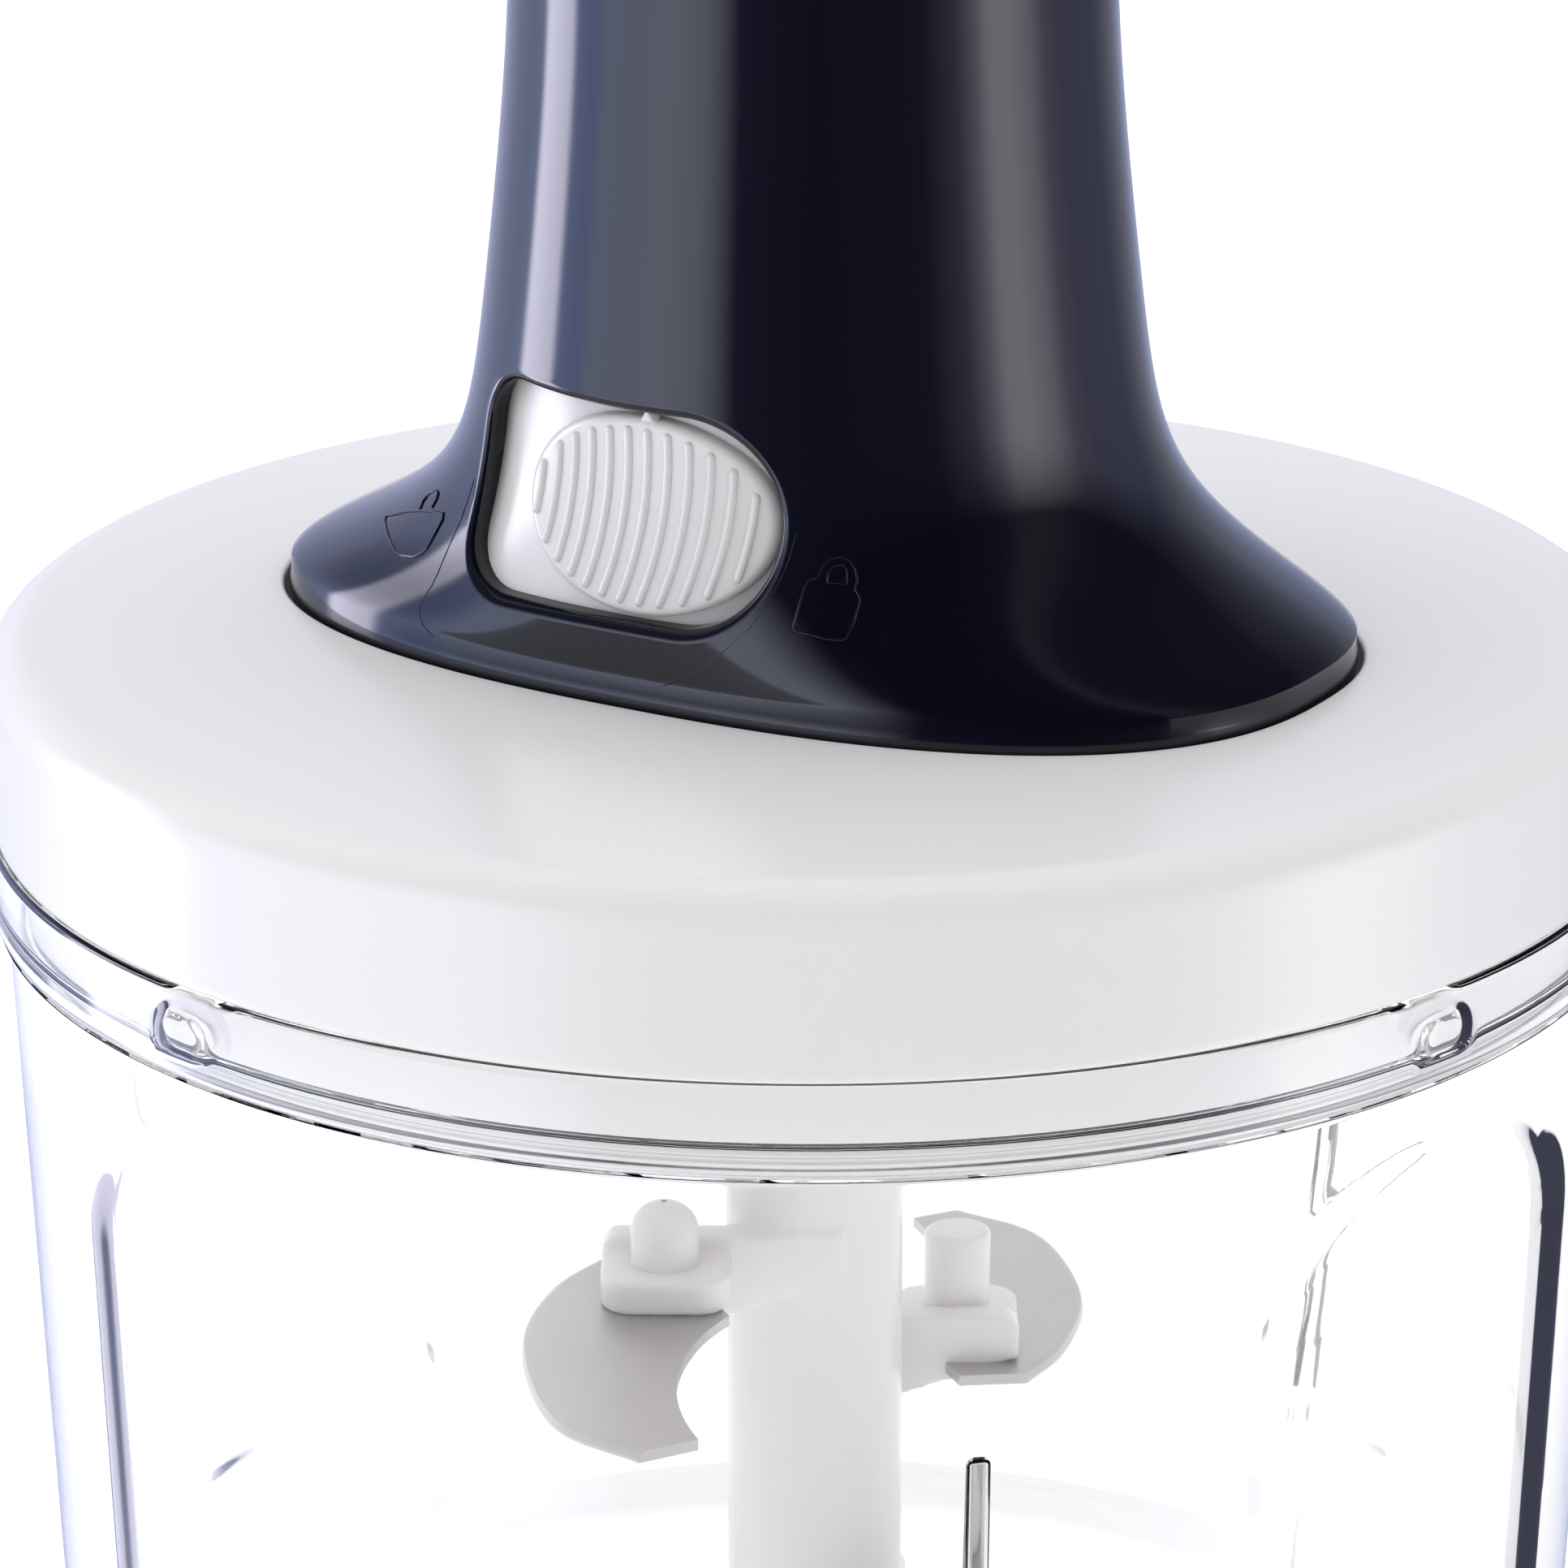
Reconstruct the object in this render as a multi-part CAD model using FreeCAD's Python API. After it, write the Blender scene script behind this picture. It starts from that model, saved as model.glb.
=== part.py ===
import FreeCAD, Part
import math
import os

# Plunger food chopper. Pressing the tall handle down drives a twisted bar through a nut in the
# lid, which spins the blade set in the bowl. Millimetres, +Z up, origin at the centre of the
# base, on the surface the chopper stands on. The lock switch faces -Y. It is modelled with the
# handle down and locked, as it is stored.

V = FreeCAD.Vector
ORIGIN = V(0, 0, 0)
UP = V(0, 0, 1)
FRONT_DEG = -90.0

# Fits and clearances
running_clearance = 0.08
slip_clearance = 0.35
seat_clearance = 0.25
through = 1.0

# Bowl
bowl_base_z = 2.6
bowl_height = 121.4
bowl_foot_radius = 79.0
bowl_shoulder_radius = 83.0
bowl_corner_radius = 11.0
bowl_wall = 3.0
collar_overhang = 1.5
collar_height = 9.5
collar_wall = 2.5
collar_ledge = 2.6
collar_fillet = 1.2
bump_half_length = 4.2
bump_half_height = 2.7
bump_rise = 1.0
bump_angle = -14.2
grip_count = 4
grip_angle = -11.5
grip_half_width = 25.5
grip_depth = 1.1
grip_top_margin = 4.7
grip_bottom_margin = 24.0
grip_arch_rise = 19.0
inner_rib_count = 3
inner_rib_angle = 42.0
inner_rib_thickness = 2.2
inner_rib_top_margin = 30.0
inner_rib_reach = 7.0
floor_boss_radius = 8.5
floor_boss_height = 5.0
floor_boss_flare = 2.0

# Base ring
base_ring_wall = 2.4
base_ring_height = 11.0
base_ring_inner_radius = 34.0

# Spindle and blade shaft
spindle_radius = 3.0
spindle_height = 30.0
spindle_root = 4.6
shaft_radius = 9.3
shaft_bore_radius = 5.9
shaft_hex_across = 15.0
shaft_bush_length = 9.0

# Blades and their arms: each arm's direction, and the height of the blade's upper face
arms_and_levels = {
    "upper_left": (-149.0, 73.4),
    "upper_right": (31.0, 56.6),
    "lower_front": (-59.0, 30.0),
    "lower_back": (121.0, 16.0),
}
arm_length = 22.0
arm_web_inner = 5.8
arm_web_height = 5.4
arm_web_drop = 4.2
arm_web_reach_past = 3.0
arm_end_chamfer = 1.2
arm_block_start = 8.5
arm_block_depth = 13.7
arm_block_height = 3.9
arm_block_rounding = 3.5
peg_along = 15.4
peg_across = 12.95
peg_radius = 3.55
peg_height = 7.0
tall_peg_height = 9.9
tall_peg_rounding = 0.8
peg_shank_radius = 1.9
peg_foot_radius = 3.1
peg_foot_height = 0.8
blade_thickness = 1.2
# Corners of a blade's outline, along and across its arm
blade_heel = (22.8, 3.0)
blade_edge = ((27.0, 10.5), (29.6, 22.0), (28.7, 34.0), (25.0, 45.5))
blade_point = (17.0, 52.5)
blade_tip = (11.3, 49.5)
blade_hook = (13.7, 36.5)
blade_horn = (8.7, 19.2)
blade_root = (15.5, 2.3)

# Lid
lid_inset = 0.5
lid_height = 18.7
lid_wall = 2.4
lid_plate = 2.5
lid_edge_radius = 4.0
foot_recess_depth = 4.2
foot_recess_gap = 1.2
recess_floor = 2.4
skirt_wall = 1.8
underplate_thickness = 2.4
plug_depth = 4.3
plug_wall = 2.6
seal_height = 2.2
seal_thickness = 1.7
seal_rim = 0.6
nib_rise = 0.7
lid_boss_radius = 3.6
lid_boss_inset = 16.0
lid_boss_count = 4
screw_radius = 1.5
screw_head_radius = 2.8
screw_head_height = 1.6
lid_screw_length = 9.0

# Drive hub and its bearings
hub_barrel_radius = 13.0
hub_flange_radius = 18.0
hub_flange_height = 4.0
hub_journal_radius = 9.0
hub_socket_depth = 11.5
nut_length = 16.0
nut_clearance = 0.15
hex_clearance = 0.25
hub_boss_wall = 4.0
hub_boss_rise = 1.0
hub_drop = 1.0
washer_thickness = 1.0

# Guide tower
tower_radius = 25.0
tower_wall = 2.8
tower_top_z = 212.0
tower_floor = 3.5
tower_flange_radius = 36.0
tower_flange_height = 3.0
tower_pad_height = 4.0
tower_screw_ring = 31.0
tower_screw_count = 4
tower_screw_length = 6.0
keyway_width = 5.0
keyway_depth = 1.2
lock_groove_depth = 1.3

# Handle
handle_travel = 45.0
foot_half_length = 57.2
foot_half_width = 36.0
waist_half_width = 35.3
foot_squareness = 2.45
foot_sink = 3.0
foot_rim_height = 5.4
foot_rim_round = 1.2
flare_reach = 8.6
flare_power = 1.4
neck_radius = 29.9
neck_height = 75.0
palm_half_length = 40.5
palm_half_width = 34.5
palm_start = 99.0
palm_rim = 3.0
palm_dome = 12.0
handle_wall = 2.0
bulkhead_height = 76.0
bulkhead_thickness = 3.0
cap_lip_depth = 5.0
foot_plate_thickness = 2.4
foot_collar_height = 16.0
foot_collar_wall = 2.4
foot_screw_ring = 43.0
foot_boss_radius = 3.2
foot_screw_length = 6.0

# Drive rod and its head
rod_half_width = 4.5
rod_half_thickness = 1.6
rod_pitch = 30.0
rod_twist_margin = 10.0
rod_head_radius = 12.0
rod_head_height = 4.0
rod_hub_radius = 7.5
rod_hub_height = 12.0
rod_pin_radius = 1.25
rod_screw_ring = 9.0
rod_screw_count = 3
rod_screw_length = 6.0

# Return spring
spring_radius = 16.5
spring_wire_radius = 1.0
spring_turns = 9
spring_seat_thickness = 1.0

# Lock switch
window_half_width = 18.0
window_offset = -3.0
window_height = 20.8
window_sill = 8.0
window_corner = 5.5
slider_thickness = 1.4
slider_top_radius = 30.9
slider_bottom_radius = 32.9
slider_overlap = 2.4
slider_left_deg = 46.0
slider_right_deg = 50.0
lock_turn = 8.0
pad_offset = 0.0
pad_half_width = 14.2
pad_half_height = 9.9
pad_rise = 1.4
pad_rib_count = 12
pad_rib_pitch = 2.2
pad_rib_width = 0.9
pad_rib_rise = 0.45
pad_rib_bow = 34.0
pad_rib_margin = 1.0
tongue_width = 5.0
tongue_height = 4.0
tongue_angle = 3.0
keeper_thickness = 1.5
keeper_gap = 0.25
keeper_span_deg = 66.5
keeper_screw_deg = 61.5
keeper_screw_length = 3.4

OVAL_POINTS = 36
FLARE_SECTIONS = 12
FLARE_CROWDING = 1.7
PALM_SECTIONS = 5
DOME_SECTIONS = 6
DOME_LEAN_DEG = 80.0

# Radii and heights that follow from the sizes above
collar_radius = bowl_shoulder_radius + collar_overhang
lid_radius = collar_radius - lid_inset
lid_boss_ring = bowl_shoulder_radius - lid_boss_inset
collar_top = bowl_base_z + bowl_height
collar_bottom = collar_top - collar_height
ledge_top = collar_bottom + collar_ledge
bowl_inside_floor = bowl_base_z + bowl_wall
boss_top = bowl_inside_floor + floor_boss_height
shaft_bottom = boss_top + seat_clearance
lid_top = collar_top + lid_height
recess_top = lid_top - foot_recess_depth
recess_underside = recess_top - recess_floor
underplate_bottom = ledge_top + seat_clearance
underplate_top = underplate_bottom + underplate_thickness
plug_bottom = underplate_bottom - plug_depth
lid_boss_top = lid_top - lid_plate
hub_bottom = plug_bottom - hub_drop
hub_socket_top = hub_bottom + hub_socket_depth
hub_boss_top = underplate_top + hub_boss_rise
hub_flange_bottom = hub_boss_top + washer_thickness
hub_flange_top = hub_flange_bottom + hub_flange_height
hub_top = hub_socket_top + nut_length
shaft_top = hub_socket_top - seat_clearance
tower_bottom = hub_flange_top + washer_thickness
tower_floor_top = tower_bottom + tower_floor
tower_pad_bottom = recess_underside - tower_pad_height
tower_inner_radius = tower_radius - tower_wall
foot_bottom = lid_top - foot_sink
bulkhead_bottom = lid_top + bulkhead_height
bulkhead_top = bulkhead_bottom + bulkhead_thickness
rod_head_bottom = bulkhead_bottom - rod_head_height
spring_bottom = tower_floor_top + spring_seat_thickness
spring_top = rod_head_bottom - spring_seat_thickness
palm_z = lid_top + palm_start
window_bottom = lid_top + window_sill
window_top = window_bottom + window_height
window_middle = (window_bottom + window_top) / 2
slider_bottom = window_bottom - slider_overlap
slider_top = window_top + slider_overlap


def revolved(profile, start_deg=0.0, sweep_deg=360.0):
    """Solid of revolution about the tool axis from (radius, height) points."""
    points = [V(r, 0, z) for r, z in profile]
    face = Part.Face(Part.makePolygon(points + [points[0]]))
    face.rotate(ORIGIN, UP, start_deg)
    return face.revolve(ORIGIN, UP, sweep_deg)


def ring(inner, outer, bottom, top):
    """Plain ring or, with no inner radius, a disc."""
    return revolved([(inner, bottom), (outer, bottom), (outer, top), (inner, top)])


def sector(inner, outer, bottom, top, start_deg, sweep_deg):
    """Part of a plain ring between two directions about the tool axis."""
    profile = [(inner, bottom), (outer, bottom), (outer, top), (inner, top)]
    return revolved(profile, start_deg, sweep_deg)


def cylinder(radius, bottom, top, x=0.0, y=0.0):
    return Part.makeCylinder(radius, top - bottom, V(x, y, bottom))


def box(size_x, size_y, bottom, top, x=0.0, y=0.0):
    """Block centred on x and y."""
    return Part.makeBox(size_x, size_y, top - bottom, V(x - size_x / 2, y - size_y / 2, bottom))


def turned(shape, degrees):
    copy = shape.copy()
    copy.rotate(ORIGIN, UP, degrees)
    return copy


def around(shape, count, start_deg=0.0):
    """Copies spread evenly about the tool axis."""
    return [turned(shape, start_deg + 360.0 * i / count) for i in range(count)]


def joined(first, *others):
    shape = first
    for other in others:
        shape = shape.fuse(other)
    return shape.removeSplitter()


def hexagon(across_flats, bottom, top):
    corner = across_flats / math.sqrt(3)
    points = [V(corner, 0, bottom)]
    points += [V(corner * math.cos(math.radians(60 * i)), corner * math.sin(math.radians(60 * i)),
                 bottom) for i in range(1, 6)]
    face = Part.Face(Part.makePolygon(points + [points[0]]))
    return face.extrude(V(0, 0, top - bottom))


def screw(length, head_z, x, y, points_up=True):
    """Pan-head self-tapping screw; its head's bearing face lies at head_z."""
    sense = 1 if points_up else -1
    shank_ends = sorted((head_z, head_z + sense * length))
    head_ends = sorted((head_z, head_z - sense * screw_head_height))
    shank = cylinder(screw_radius, shank_ends[0], shank_ends[1], x, y)
    head = cylinder(screw_head_radius, head_ends[0], head_ends[1], x, y)
    slot = box(screw_head_radius * 2, screw_radius / 2, head_ends[0], head_ends[1], x, y)
    recess_z = head_ends[0] - screw_head_height / 2 if points_up else head_ends[1] - screw_head_height / 2
    slot.translate(V(0, 0, recess_z - head_ends[0]))
    return joined(shank, head).cut(slot)


# ---- Bowl -------------------------------------------------------------------------------

def wall_radius(z):
    """Outer radius of the tapered bowl wall at a height."""
    corner_top = bowl_base_z + bowl_corner_radius
    share = (z - corner_top) / (collar_bottom - corner_top)
    return bowl_foot_radius + (bowl_shoulder_radius - bowl_foot_radius) * share


def bowl_body(inset):
    """Bowl form up to the collar, drawn in by inset, with its rounded lower corner."""
    corner = bowl_corner_radius - inset
    corner_z = bowl_base_z + bowl_corner_radius
    centre_radius = bowl_foot_radius - bowl_corner_radius
    slant = math.atan2(bowl_shoulder_radius - bowl_foot_radius, collar_bottom - corner_z)
    foot = V(centre_radius + corner * math.cos(slant), 0, corner_z - corner * math.sin(slant))
    half_turn = (math.pi / 2 - slant) / 2
    middle = V(centre_radius + corner * math.sin(half_turn), 0, corner_z - corner * math.cos(half_turn))
    centre_bottom = V(centre_radius, 0, corner_z - corner)
    shoulder = V(bowl_shoulder_radius - inset / math.cos(slant), 0, collar_bottom)
    edges = [
        Part.makeLine(V(0, 0, corner_z - corner), centre_bottom),
        Part.Arc(centre_bottom, middle, foot).toShape(),
        Part.makeLine(foot, shoulder),
        Part.makeLine(shoulder, V(0, 0, collar_bottom)),
        Part.makeLine(V(0, 0, collar_bottom), V(0, 0, corner_z - corner)),
    ]
    return Part.Face(Part.Wire(edges)).revolve(ORIGIN, UP, 360)


def arch_prism(half_width, bottom, top, arch_rise, inner, outer):
    """Block with an elliptical arch for its top, from inner to outer radius towards -Y."""
    spring_z = top - arch_rise
    ellipse = Part.Ellipse(V(0, 0, spring_z), half_width, arch_rise)
    ellipse.Axis = V(0, -1, 0)
    ellipse.XAxis = V(1, 0, 0)
    arch = Part.ArcOfEllipse(ellipse, 0, math.pi).toShape()
    if arch.valueAt(arch.FirstParameter + math.pi / 2).z < spring_z:
        arch = Part.ArcOfEllipse(ellipse, math.pi, 2 * math.pi).toShape()
    edges = [
        Part.makeLine(V(-half_width, 0, spring_z), V(-half_width, 0, bottom)),
        Part.makeLine(V(-half_width, 0, bottom), V(half_width, 0, bottom)),
        Part.makeLine(V(half_width, 0, bottom), V(half_width, 0, spring_z)),
        arch,
    ]
    face = Part.Face(Part.Wire(Part.__sortEdges__(edges)))
    face.translate(V(0, -inner, 0))
    return face.extrude(V(0, inner - outer, 0))


def grip_recesses():
    """Four shallow arch-topped hollows that give wet hands a hold."""
    core = bowl_body(grip_depth)
    panel = arch_prism(grip_half_width, bowl_base_z + grip_bottom_margin,
                       collar_bottom - grip_top_margin, grip_arch_rise,
                       bowl_foot_radius - grip_half_width, collar_radius)
    cutter = panel.cut(core)
    return around(cutter, grip_count, grip_angle)


def inner_ribs():
    """Thin wedge ribs that stop the food from turning with the blades."""
    top = collar_bottom - inner_rib_top_margin
    profile = [V(0, -wall_radius(top) + bowl_wall, top),
               V(0, -wall_radius(top) + bowl_wall / 2, top),
               V(0, -bowl_foot_radius + bowl_wall / 2, bowl_base_z + bowl_corner_radius),
               V(0, -bowl_foot_radius + bowl_wall + inner_rib_reach, bowl_inside_floor - through),
               V(0, -bowl_foot_radius + bowl_wall + inner_rib_reach, bowl_inside_floor + through)]
    face = Part.Face(Part.makePolygon(profile + [profile[0]]))
    face.translate(V(-inner_rib_thickness / 2, 0, 0))
    rib = face.extrude(V(inner_rib_thickness, 0, 0))
    rib = rib.common(bowl_body(bowl_wall / 2))
    return around(rib, inner_rib_count, inner_rib_angle)


def collar():
    """Wide rim that takes the lid's skirt, with its ledge."""
    mouth = bowl_shoulder_radius - bowl_wall - seat_clearance
    return revolved([(mouth, collar_bottom), (collar_radius - collar_fillet, collar_bottom),
                     (collar_radius, collar_bottom + collar_fillet), (collar_radius, collar_top),
                     (collar_radius - collar_wall, collar_top), (collar_radius - collar_wall, ledge_top),
                     (mouth, ledge_top)])


def rounded_slot(half_length, half_height, middle_z, inner, outer):
    """Round-ended block that reaches from inner to outer radius towards -Y."""
    straight = half_length - half_height
    low = middle_z - half_height
    high = middle_z + half_height
    edges = [
        Part.makeLine(V(-straight, 0, low), V(straight, 0, low)),
        Part.Arc(V(straight, 0, low), V(half_length, 0, middle_z), V(straight, 0, high)).toShape(),
        Part.makeLine(V(straight, 0, high), V(-straight, 0, high)),
        Part.Arc(V(-straight, 0, high), V(-half_length, 0, middle_z), V(-straight, 0, low)).toShape(),
    ]
    face = Part.Face(Part.Wire(edges))
    face.translate(V(0, -inner, 0))
    return face.extrude(V(0, inner - outer, 0))


def collar_bumps(outer_radius, margin=0.0):
    """Four oval bosses on the collar; with a margin, the hollows behind them."""
    middle = (collar_top + collar_bottom) / 2
    inner = collar_radius - collar_wall - through
    block = rounded_slot(bump_half_length - margin, bump_half_height - margin, middle,
                         inner, collar_radius + bump_rise + through)
    bump = block.common(ring(inner, outer_radius, collar_bottom, collar_top))
    return around(bump, grip_count, bump_angle)


def bowl():
    shell = bowl_body(0).cut(bowl_body(bowl_wall))
    shell = joined(shell, collar())
    shell = shell.fuse(collar_bumps(collar_radius + bump_rise))
    shell = shell.cut(ring(0, collar_radius - collar_wall, ledge_top, collar_top))
    shell = shell.cut(collar_bumps(collar_radius - collar_wall + bump_rise, bump_rise))
    shell = shell.cut(grip_recesses())
    shell = shell.fuse(inner_ribs())
    root = floor_boss_radius + floor_boss_flare
    boss = revolved([(0, bowl_inside_floor - through), (root, bowl_inside_floor - through),
                     (root, bowl_inside_floor), (floor_boss_radius, boss_top), (0, boss_top)])
    shell = shell.fuse(boss)
    return shell.cut(spindle_pin()).removeSplitter()


def spindle_pin():
    """Steel pin moulded into the floor boss, with a rounded top."""
    root = boss_top - spindle_root
    shank = cylinder(spindle_radius, root, root + spindle_height)
    return joined(shank, Part.makeSphere(spindle_radius, V(0, 0, root + spindle_height)))


def base_ring():
    """Soft ring that the bowl sits in, which grips the worktop."""
    outer = bowl_foot_radius + base_ring_wall
    body = revolved([(base_ring_inner_radius, 0), (outer - base_ring_wall, 0), (outer, base_ring_wall),
                     (outer, base_ring_height), (base_ring_inner_radius, base_ring_height)])
    return body.cut(bowl_body(0))


# ---- Blade set --------------------------------------------------------------------------

def arm(level):
    """One arm along +X: a web that leaves the shaft on one side, and its blade's block."""
    face_y = shaft_radius
    past = -arm_web_reach_past
    side = [V(past, 0, level + arm_web_height), V(past, 0, level + blade_thickness),
            V(arm_block_start, 0, level - arm_web_drop), V(arm_length - arm_end_chamfer, 0, level),
            V(arm_length, 0, level), V(arm_length, 0, level + arm_web_height - arm_end_chamfer),
            V(arm_length - arm_end_chamfer, 0, level + arm_web_height)]
    web = Part.Face(Part.makePolygon(side + [side[0]])).extrude(V(0, face_y - arm_web_inner, 0))
    web.translate(V(0, arm_web_inner, 0))
    length = arm_length - arm_block_start
    block = box(length, arm_block_depth, level, level + arm_block_height, arm_block_start + length / 2,
                arm_web_inner + arm_block_depth / 2)
    front_y = arm_web_inner + arm_block_depth
    corners = [e for e in block.Edges if e.BoundBox.ZLength > arm_block_height / 2
               and e.BoundBox.YMin > front_y - through]
    block = block.makeFillet(arm_block_rounding, corners)
    return joined(web, block)


def blade_shaft():
    """Hollow moulded shaft with four staggered arms and a hexagonal top."""
    shoulder = hub_bottom - seat_clearance
    shaft = cylinder(shaft_radius, shaft_bottom, shoulder)
    top = hexagon(shaft_hex_across, shoulder - through, shaft_top)
    arms = [turned(arm(level), angle) for angle, level in arms_and_levels.values()]
    body = joined(shaft, top, *arms)
    body = body.cut(cylinder(shaft_bore_radius, shaft_bottom - through, shaft_top + through))
    for place, (angle, level) in arms_and_levels.items():
        shank = cylinder(peg_shank_radius, level - through, level + arm_block_height + through,
                         peg_along, peg_across)
        body = body.cut(turned(shank, angle)).cut(blade(place))
    return body


def blade(place):
    """Flat crescent blade under an arm's block: convex cutting edge and a hooked inner edge."""
    angle, level = arms_and_levels[place]
    heel, point, tip, hook, horn, root = [V(x, y, 0) for x, y in (
        blade_heel, blade_point, blade_tip, blade_hook, blade_horn, blade_root)]
    cutting_edge = Part.BSplineCurve()
    cutting_edge.interpolate([heel] + [V(x, y, 0) for x, y in blade_edge] + [point])
    edges = [
        cutting_edge.toShape(),
        Part.makeLine(point, tip),
        Part.Arc(tip, hook, horn).toShape(),
        Part.makeLine(horn, root),
        Part.makeLine(root, heel),
    ]
    plate = Part.Face(Part.Wire(edges)).extrude(V(0, 0, blade_thickness))
    plate.translate(V(0, 0, level - blade_thickness))
    hole = cylinder(peg_shank_radius, level - blade_thickness - through, level + through,
                    peg_along, peg_across)
    return turned(plate.cut(hole), angle)


def blade_peg(place, tall):
    """Peg that clamps a blade to its arm: a round-topped one, or a taller flat-topped one."""
    angle, level = arms_and_levels[place]
    base = level + arm_block_height
    if tall:
        head = cylinder(peg_radius, base, base + tall_peg_height, peg_along, peg_across)
        rim = [e for e in head.Edges if e.BoundBox.ZMin > base + tall_peg_height / 2]
        head = head.makeFillet(tall_peg_rounding, [e for e in rim if e.BoundBox.ZLength < through / 2])
    else:
        crown = base + peg_height - peg_radius
        dome = Part.makeSphere(peg_radius, V(peg_along, peg_across, crown))
        head = joined(cylinder(peg_radius, base, crown, peg_along, peg_across), dome.common(
            box(peg_radius * 3, peg_radius * 3, crown, base + peg_height, peg_along, peg_across)))
    blade_bottom = level - blade_thickness
    shank = cylinder(peg_shank_radius, blade_bottom, base, peg_along, peg_across)
    foot = cylinder(peg_foot_radius, blade_bottom - peg_foot_height, blade_bottom, peg_along, peg_across)
    return turned(joined(head, shank, foot), angle)


def shaft_bush():
    """Bearing bush in the shaft's lower end, running on the spindle pin."""
    return ring(spindle_radius + running_clearance, shaft_bore_radius, shaft_bottom,
                shaft_bottom + shaft_bush_length)


# ---- Drive ------------------------------------------------------------------------------

def twisted_bar(half_width, half_thickness, bottom, top):
    """Flat bar twisted about the tool axis; its width lies along X at the nut's lower end."""
    length = top - bottom
    start_deg = 360.0 * (bottom - hub_socket_top) / rod_pitch
    path = Part.Wire([Part.makeLine(V(0, 0, bottom), V(0, 0, top))])
    helix = Part.makeHelix(rod_pitch, length, half_width)
    helix.translate(V(0, 0, bottom))
    corners = [V(half_width, half_thickness, bottom), V(-half_width, half_thickness, bottom),
               V(-half_width, -half_thickness, bottom), V(half_width, -half_thickness, bottom)]
    sweep = Part.BRepOffsetAPI.MakePipeShell(path)
    sweep.setAuxiliarySpine(Part.Wire(helix.Edges), True, 0)
    sweep.add(Part.makePolygon(corners + [corners[0]]))
    sweep.build()
    sweep.makeSolid()
    return turned(sweep.shape(), start_deg)


def drive_rod():
    """Steel bar, twisted where it runs through the nut and plain in the handle's head."""
    bottom = hub_socket_top - handle_travel - rod_twist_margin
    top = hub_top + rod_twist_margin
    twisted = twisted_bar(rod_half_width, rod_half_thickness, bottom, top)
    shank = cylinder(rod_half_width, top, bulkhead_bottom)
    pin_hole = Part.makeCylinder(rod_pin_radius, rod_hub_radius * 2 + through * 2,
                                 V(-rod_hub_radius - through, 0, rod_pin_z()), V(1, 0, 0))
    return joined(twisted, shank).cut(pin_hole)


def rod_pin_z():
    return rod_head_bottom - rod_hub_height / 2


def rod_head():
    """Moulded head that carries the rod under the handle's bulkhead."""
    body = joined(ring(rod_half_width, rod_head_radius, rod_head_bottom, bulkhead_bottom),
                  ring(rod_half_width, rod_hub_radius, rod_head_bottom - rod_hub_height, rod_head_bottom))
    pin_hole = Part.makeCylinder(rod_pin_radius, rod_hub_radius * 2 + through * 2,
                                 V(-rod_hub_radius - through, 0, rod_pin_z()), V(1, 0, 0))
    body = body.cut(pin_hole)
    for item in rod_screw_places():
        body = body.cut(cylinder(screw_radius, rod_head_bottom - through, bulkhead_bottom, *item))
    return body


def rod_screw_places():
    return [ring_place(rod_screw_ring, i, rod_screw_count, 90) for i in range(rod_screw_count)]


def ring_place(radius, index, count, start_deg=45.0):
    angle = math.radians(start_deg + 360.0 * index / count)
    return radius * math.cos(angle), radius * math.sin(angle)


def rod_pin():
    start = V(-rod_hub_radius, 0, rod_pin_z())
    return Part.makeCylinder(rod_pin_radius, rod_hub_radius * 2, start, V(1, 0, 0))


def rod_screws():
    screws = [screw(rod_screw_length, bulkhead_top, x, y, False) for x, y in rod_screw_places()]
    return Part.makeCompound(screws)


def drive_hub():
    """Nut for the twisted rod above, hexagonal socket for the blade shaft below."""
    body = revolved([(0, hub_bottom), (hub_barrel_radius, hub_bottom),
                     (hub_barrel_radius, hub_flange_bottom), (hub_flange_radius, hub_flange_bottom),
                     (hub_flange_radius, hub_flange_top), (hub_journal_radius, hub_flange_top),
                     (hub_journal_radius, hub_top), (0, hub_top)])
    body = body.cut(hexagon(shaft_hex_across + hex_clearance * 2, hub_bottom - through, hub_socket_top))
    slot = twisted_bar(rod_half_width + nut_clearance, rod_half_thickness + nut_clearance,
                       hub_socket_top - through, hub_top + through)
    return body.cut(slot)


def thrust_washer(inner, bottom):
    return ring(inner + slip_clearance, hub_flange_radius - seat_clearance, bottom,
                bottom + washer_thickness)


# ---- Lid --------------------------------------------------------------------------------

def oval_wire(half_length, half_width, squareness, z):
    """Closed smooth oval; squareness 2 is an ellipse, more is fuller in the corners."""
    points = []
    for i in range(OVAL_POINTS):
        angle = 2 * math.pi * i / OVAL_POINTS
        c = math.cos(angle)
        s = math.sin(angle)
        x = half_length * math.copysign(abs(c) ** (2 / squareness), c)
        y = half_width * math.copysign(abs(s) ** (2 / squareness), s)
        points.append(V(x, y, z))
    curve = Part.BSplineCurve()
    curve.interpolate(Points=points, PeriodicFlag=True)
    return Part.Wire([curve.toShape()])


def oval_block(half_length, half_width, squareness, bottom, top):
    face = Part.Face(oval_wire(half_length, half_width, squareness, bottom))
    return face.extrude(V(0, 0, top - bottom))


def lid_screw_places():
    return [ring_place(lid_boss_ring, i, lid_boss_count) for i in range(lid_boss_count)]


def tower_screw_places():
    return [ring_place(tower_screw_ring, i, tower_screw_count) for i in range(tower_screw_count)]


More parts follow.
